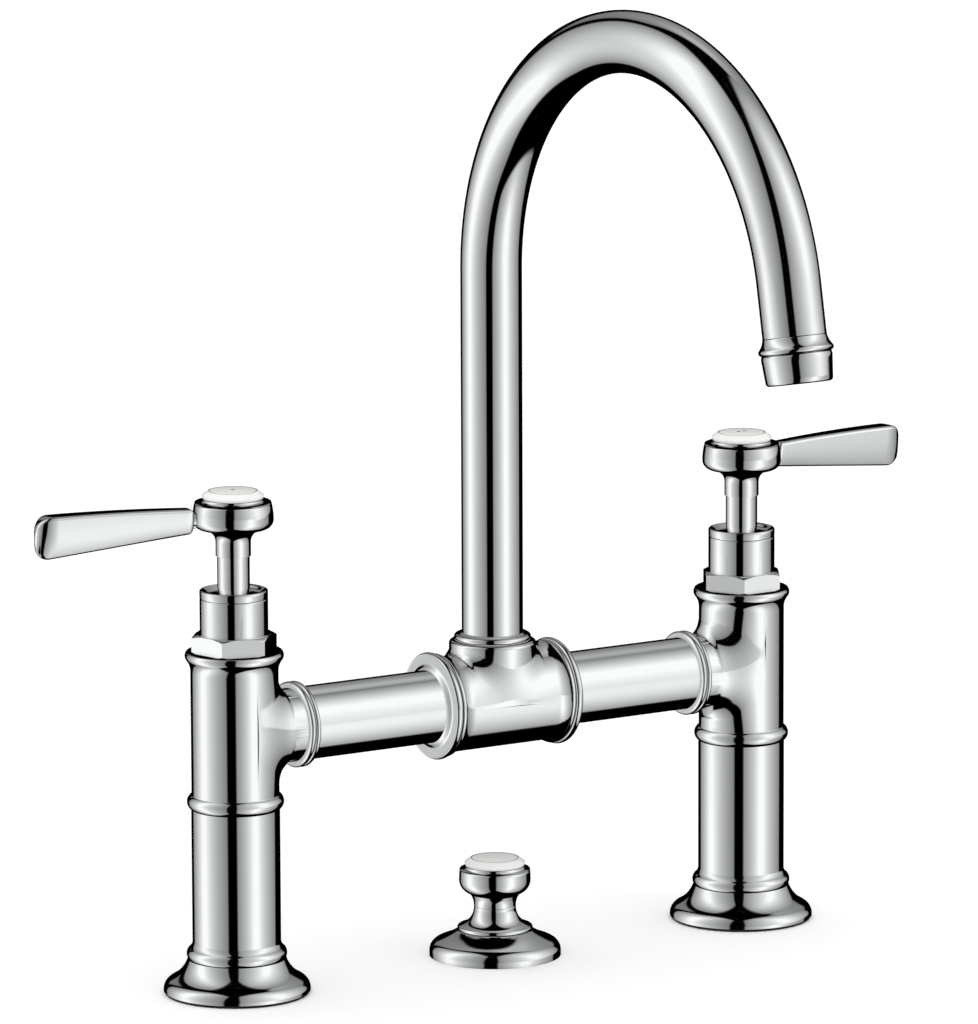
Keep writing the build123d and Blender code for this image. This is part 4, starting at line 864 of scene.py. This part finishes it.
# %% Make the skins
def skin(node, material):
    source = nodes[node]
    mesh = modelled[node] if node in modelled else source.data.copy()
    work = bmesh.new()
    work.from_mesh(mesh)
    bmesh.ops.remove_doubles(work, verts=work.verts, dist=0.001 * MM)
    if node in saddles:
        soften(work, saddles[node])
    for face in work.faces:
        face.smooth = True
    work.to_mesh(mesh)
    work.free()
    mesh.set_sharp_from_angle(angle=SHARP_ANGLE)
    mesh.materials.clear()
    mesh.materials.append(material)
    raw = bpy.data.objects.new("skin_" + node, mesh)
    bpy.context.scene.collection.objects.link(raw)
    weighted = raw.modifiers.new("normals", "WEIGHTED_NORMAL")
    weighted.mode = "FACE_AREA_WITH_ANGLE"
    weighted.weight = 50
    weighted.keep_sharp = True
    ready = raw.evaluated_get(bpy.context.evaluated_depsgraph_get())
    final = bpy.data.meshes.new_from_object(ready)
    raw.modifiers.clear()
    raw.data = final
    final.name = raw.name
    if node == "spout_tube":
        final.normals_split_custom_set(tube_normals(final).tolist())
    elif node in axes:
        normals = lathe_normals(final, axes[node], node in branched)
        if node in saddles:
            normals = saddle_normals(final, normals, saddles[node])
        final.normals_split_custom_set(normals.tolist())
    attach(raw, source["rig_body"])
    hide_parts(node)
    return raw


index_dots = {"cold_index_disc": [0.0], "hot_index_disc": [-DOT_PITCH / 2, DOT_PITCH / 2], "knob_disc": []}
skins = {}
for node in sorted(nodes):
    if node in index_dots:
        material = glazed_porcelain("glazed_porcelain_" + node, middle(node), index_dots[node])
    else:
        material = finishes[slot_of[node]]
    skins[node] = skin(node, material)
print("skins:", len(skins), "triangles:", sum(len(s.data.polygons) for s in skins.values()))

# %% [markdown]
# ## What the chrome shows
#
# A product photographer spends most of the time on what a mirror shows. The photo's chrome
# shows the soft boxes and the dark studio between them, and almost nothing of the tap's own
# parts, which would scatter thin broken lines over every curve. So the pieces are hidden from
# mirror reflections, and the darkness that the creases lose by that is put back in the material.

# %% Keep the tap out of its own reflections
for shown in skins.values():
    shown.visible_glossy = False
print("pieces hidden from mirror reflections:", len(skins))

# %% [markdown]
# ## Floor
#
# The tap is shown standing on a plain white floor. The floor keeps a soft shadow.

# %% Floor
FLOOR_SIZE = 6.0
FLOOR_LIFT = "#606060"


def floor():
    mesh = bpy.data.meshes.new("floor")
    half = FLOOR_SIZE / 2
    corners = [(-half, -half, 0), (half, -half, 0), (half, half, 0), (-half, half, 0)]
    mesh.from_pydata(corners, [], [(0, 1, 2, 3)])
    material, tree = new_material("white_floor")
    shader = add(tree, "ShaderNodeBsdfDiffuse", Color=linear("#ffffff"))
    glow = add(tree, "ShaderNodeEmission", Strength=add(tree, "ShaderNodeLightPath").outputs["Is Camera Ray"])
    glow.inputs["Color"].default_value = linear(FLOOR_LIFT)
    both = add(tree, "ShaderNodeAddShader", _0=shader.outputs["BSDF"], _1=glow.outputs["Emission"])
    output = tree.nodes.new("ShaderNodeOutputMaterial")
    tree.links.new(both.outputs["Shader"], output.inputs["Surface"])
    mesh.materials.append(material)
    thing = bpy.data.objects.new("floor", mesh)
    bpy.context.scene.collection.objects.link(thing)
    thing.visible_glossy = False
    return thing


print("floor:", floor().name, FLOOR_SIZE, "m wide")

# %% [markdown]
# ## Studio
#
# Chrome has no colour of its own: it shows the room. The photo looks lit by tall soft boxes on
# the left and on the right, each an upper and a lower one, with a dark gap at the camera, and
# by one more from behind and above. Each box is brightest where its lamp stands and fades
# towards its edges, and that fade is what makes the chrome look round and soft.
#
# The world draws the room by direction only, so nothing near the tap casts a light of its own.
# A flat box seen from the tap is a rectangle on its own plane: a direction's place on that
# plane is the tangent of its turn from the box's facing, and its rise over the cosine of that
# turn. Only mirror reflections see the boxes. Matt surfaces get an even light, and the camera
# sees plain white.

# %% A soft box
CAMERA_AZIMUTH = -32.20
CAMERA_ELEVATION = 10.65
BOX_EDGE = 0.09
AHEAD_LEAST = 0.02


def inside(tree, value, edge, sign, slack):
    """1 where value is on the inner side of an edge, 0 outside, smooth between. slack widens it."""
    past = add(tree, MATH, {"operation": "SUBTRACT"}, _0=value, _1=edge)
    past = add(tree, MATH, {"operation": "MULTIPLY"}, _0=past, _1=sign)
    steps = add(tree, MATH, {"operation": "DIVIDE"}, _0=past, _1=slack)
    node = add(tree, "ShaderNodeMapRange", {"interpolation_type": "SMOOTHSTEP"}, Value=steps)
    node.inputs["From Min"].default_value = -0.5
    node.inputs["From Max"].default_value = 0.5
    return node.outputs["Result"]


def soft_box(tree, azimuth, rise, facing, left, right, bottom, top, lamp, lamp_rise, even, fade, tall):
    """The level of one box. facing, left, right and lamp are degrees around the camera's side of
    the tap, right positive; bottom, top and lamp_rise are degrees of height straight ahead of the
    box. The light is even within that reach of the lamp and then fades, more slowly up and down."""
    turn = add(tree, MATH, {"operation": "SUBTRACT"}, _0=azimuth, _1=radians(facing))
    turn = add(tree, MATH, {"operation": "WRAP"}, _0=turn, _1=pi, _2=-pi)
    ahead = add(tree, MATH, {"operation": "COSINE"}, _0=turn)
    across = add(tree, MATH, {"operation": "TANGENT"}, _0=turn)
    ahead_or_least = add(tree, MATH, {"operation": "MAXIMUM"}, _0=ahead, _1=AHEAD_LEAST)
    up = add(tree, MATH, {"operation": "DIVIDE"}, _0=rise, _1=ahead_or_least)
    level = add(tree, MATH, {"operation": "GREATER_THAN"}, _0=ahead, _1=AHEAD_LEAST)
    for value, first, last in ((across, left - facing, right - facing), (up, bottom, top)):
        slack = add(tree, MATH, {"operation": "MULTIPLY"}, _0=value, _1=value)
        slack = add(tree, MATH, {"operation": "MULTIPLY_ADD"}, _0=slack, _1=BOX_EDGE, _2=BOX_EDGE)
        for edge, sign in ((first, 1), (last, -1)):
            side = inside(tree, value, tan(radians(edge)), sign, slack)
            level = add(tree, MATH, {"operation": "MULTIPLY"}, _0=level, _1=side)
    off_across = add(tree, MATH, {"operation": "SUBTRACT"}, _0=across, _1=tan(radians(lamp - facing)))
    off_across = add(tree, MATH, {"operation": "POWER"}, _0=off_across, _1=2.0)
    off_up = add(tree, MATH, {"operation": "SUBTRACT"}, _0=up, _1=tan(radians(lamp_rise)))
    off_up = add(tree, MATH, {"operation": "DIVIDE"}, _0=off_up, _1=tall)
    off_up = add(tree, MATH, {"operation": "POWER"}, _0=off_up, _1=2.0)
    far = add(tree, MATH, {"operation": "ADD"}, _0=off_across, _1=off_up)
    far = add(tree, MATH, {"operation": "SQRT"}, _0=far)
    far = add(tree, MATH, {"operation": "SUBTRACT"}, _0=far, _1=even)
    far = add(tree, MATH, {"operation": "MAXIMUM"}, _0=far, _1=0.0)
    far = add(tree, MATH, {"operation": "MULTIPLY_ADD"}, _0=far, _1=fade, _2=1.0)
    return add(tree, MATH, {"operation": "DIVIDE"}, _0=level, _1=far)


# %% The five boxes
soft_boxes = {
    "left upper": dict(
        facing=-80, left=-139, right=-20, bottom=-3.5, top=76, lamp=-91, lamp_rise=27,
        even=0.13, fade=2.2, tall=3.4,
    ),
    "left lower": dict(
        facing=-80, left=-140, right=-20, bottom=-70.5, top=1.5, lamp=-89, lamp_rise=-32,
        even=0.20, fade=2.1, tall=2.4,
    ),
    "right upper": dict(
        facing=73, left=6, right=141, bottom=-6, top=79.2, lamp=76, lamp_rise=28,
        even=0.14, fade=1.4, tall=2.4,
    ),
    "right lower": dict(
        facing=64, left=5, right=122, bottom=-62.3, top=0, lamp=54, lamp_rise=-22,
        even=0.14, fade=2.0, tall=2.6,
    ),
    "behind": dict(
        facing=158, left=129, right=209, bottom=20, top=59, lamp=168, lamp_rise=52,
        even=0.20, fade=1.8, tall=1.1,
    ),
}
BEHIND_LEVEL = 0.44
print("soft boxes:", list(soft_boxes))

# %% Studio world
FLAT_LEAST = 0.001


def studio():
    world = bpy.data.worlds.new("studio")
    world.use_nodes = True
    tree = world.node_tree
    tree.nodes.clear()
    ray = add(tree, "ShaderNodeTexCoord").outputs["Generated"]
    turned = add(
        tree, "ShaderNodeVectorRotate", {"rotation_type": "Z_AXIS"}, Vector=ray,
        Angle=radians(90 - CAMERA_AZIMUTH),
    )
    split = add(tree, "ShaderNodeSeparateXYZ", Vector=turned.outputs["Vector"])
    ahead, across, up = (split.outputs[name] for name in ("X", "Y", "Z"))
    azimuth = add(tree, MATH, {"operation": "ARCTAN2"}, _0=across, _1=ahead)
    ahead_square = add(tree, MATH, {"operation": "POWER"}, _0=ahead, _1=2.0)
    across_square = add(tree, MATH, {"operation": "POWER"}, _0=across, _1=2.0)
    flat = add(tree, MATH, {"operation": "ADD"}, _0=ahead_square, _1=across_square)
    flat = add(tree, MATH, {"operation": "SQRT"}, _0=flat)
    flat = add(tree, MATH, {"operation": "MAXIMUM"}, _0=flat, _1=FLAT_LEAST)
    rise = add(tree, MATH, {"operation": "DIVIDE"}, _0=up, _1=flat)
    room = None
    for place, sizes in soft_boxes.items():
        level = soft_box(tree, azimuth, rise, **sizes)
        if place == "behind":
            level = add(tree, MATH, {"operation": "MULTIPLY"}, _0=level, _1=BEHIND_LEVEL)
        if room is not None:
            level = add(tree, MATH, {"operation": "MAXIMUM"}, _0=room, _1=level)
        room = level
    path = add(tree, "ShaderNodeLightPath")
    mirror = add(
        tree, "ShaderNodeMix", {"data_type": "RGBA"}, _0=path.outputs["Is Glossy Ray"],
        _6=linear("#ffffff"), _7=room,
    )
    seen = add(
        tree, "ShaderNodeMix", {"data_type": "RGBA"}, _0=path.outputs["Is Camera Ray"],
        _6=mirror.outputs[2], _7=linear("#ffffff"),
    )
    background = add(tree, "ShaderNodeBackground", Color=seen.outputs[2], Strength=1.0)
    output = tree.nodes.new("ShaderNodeOutputWorld")
    tree.links.new(background.outputs["Background"], output.inputs["Surface"])
    bpy.context.scene.world = world


studio()
bpy.context.scene.view_settings.view_transform = "Standard"
print("nodes in the world:", len(bpy.context.scene.world.node_tree.nodes))

# %% [markdown]
# ## Camera
#
# The photo was taken from far away with a long lens, from the cold side and a little above.

# %% Camera
CAMERA_DISTANCE = 3.028
CAMERA_PIVOT = Vector((0, 0, 0.151))
CAMERA_AIM = Vector((-0.00017, 0.0017, 0.15815))
CAMERA_ROLL = -0.21
LENS = 304.4


def camera():
    turn, rise = radians(CAMERA_AZIMUTH), radians(CAMERA_ELEVATION)
    back = Vector((sin(turn) * cos(rise), -cos(turn) * cos(rise), sin(rise)))
    data = bpy.data.cameras.new("camera")
    data.sensor_width = 36
    data.lens = LENS
    thing = bpy.data.objects.new("camera", data)
    bpy.context.scene.collection.objects.link(thing)
    thing.location = CAMERA_PIVOT + back * CAMERA_DISTANCE
    look = (CAMERA_AIM - thing.location).to_track_quat("-Z", "Y")
    thing.rotation_mode = "QUATERNION"
    thing.rotation_quaternion = look @ Quaternion((0, 0, 1), radians(CAMERA_ROLL))
    bpy.context.scene.camera = thing


camera()
print("camera:", CAMERA_DISTANCE, "m away with a lens of", LENS, "mm")
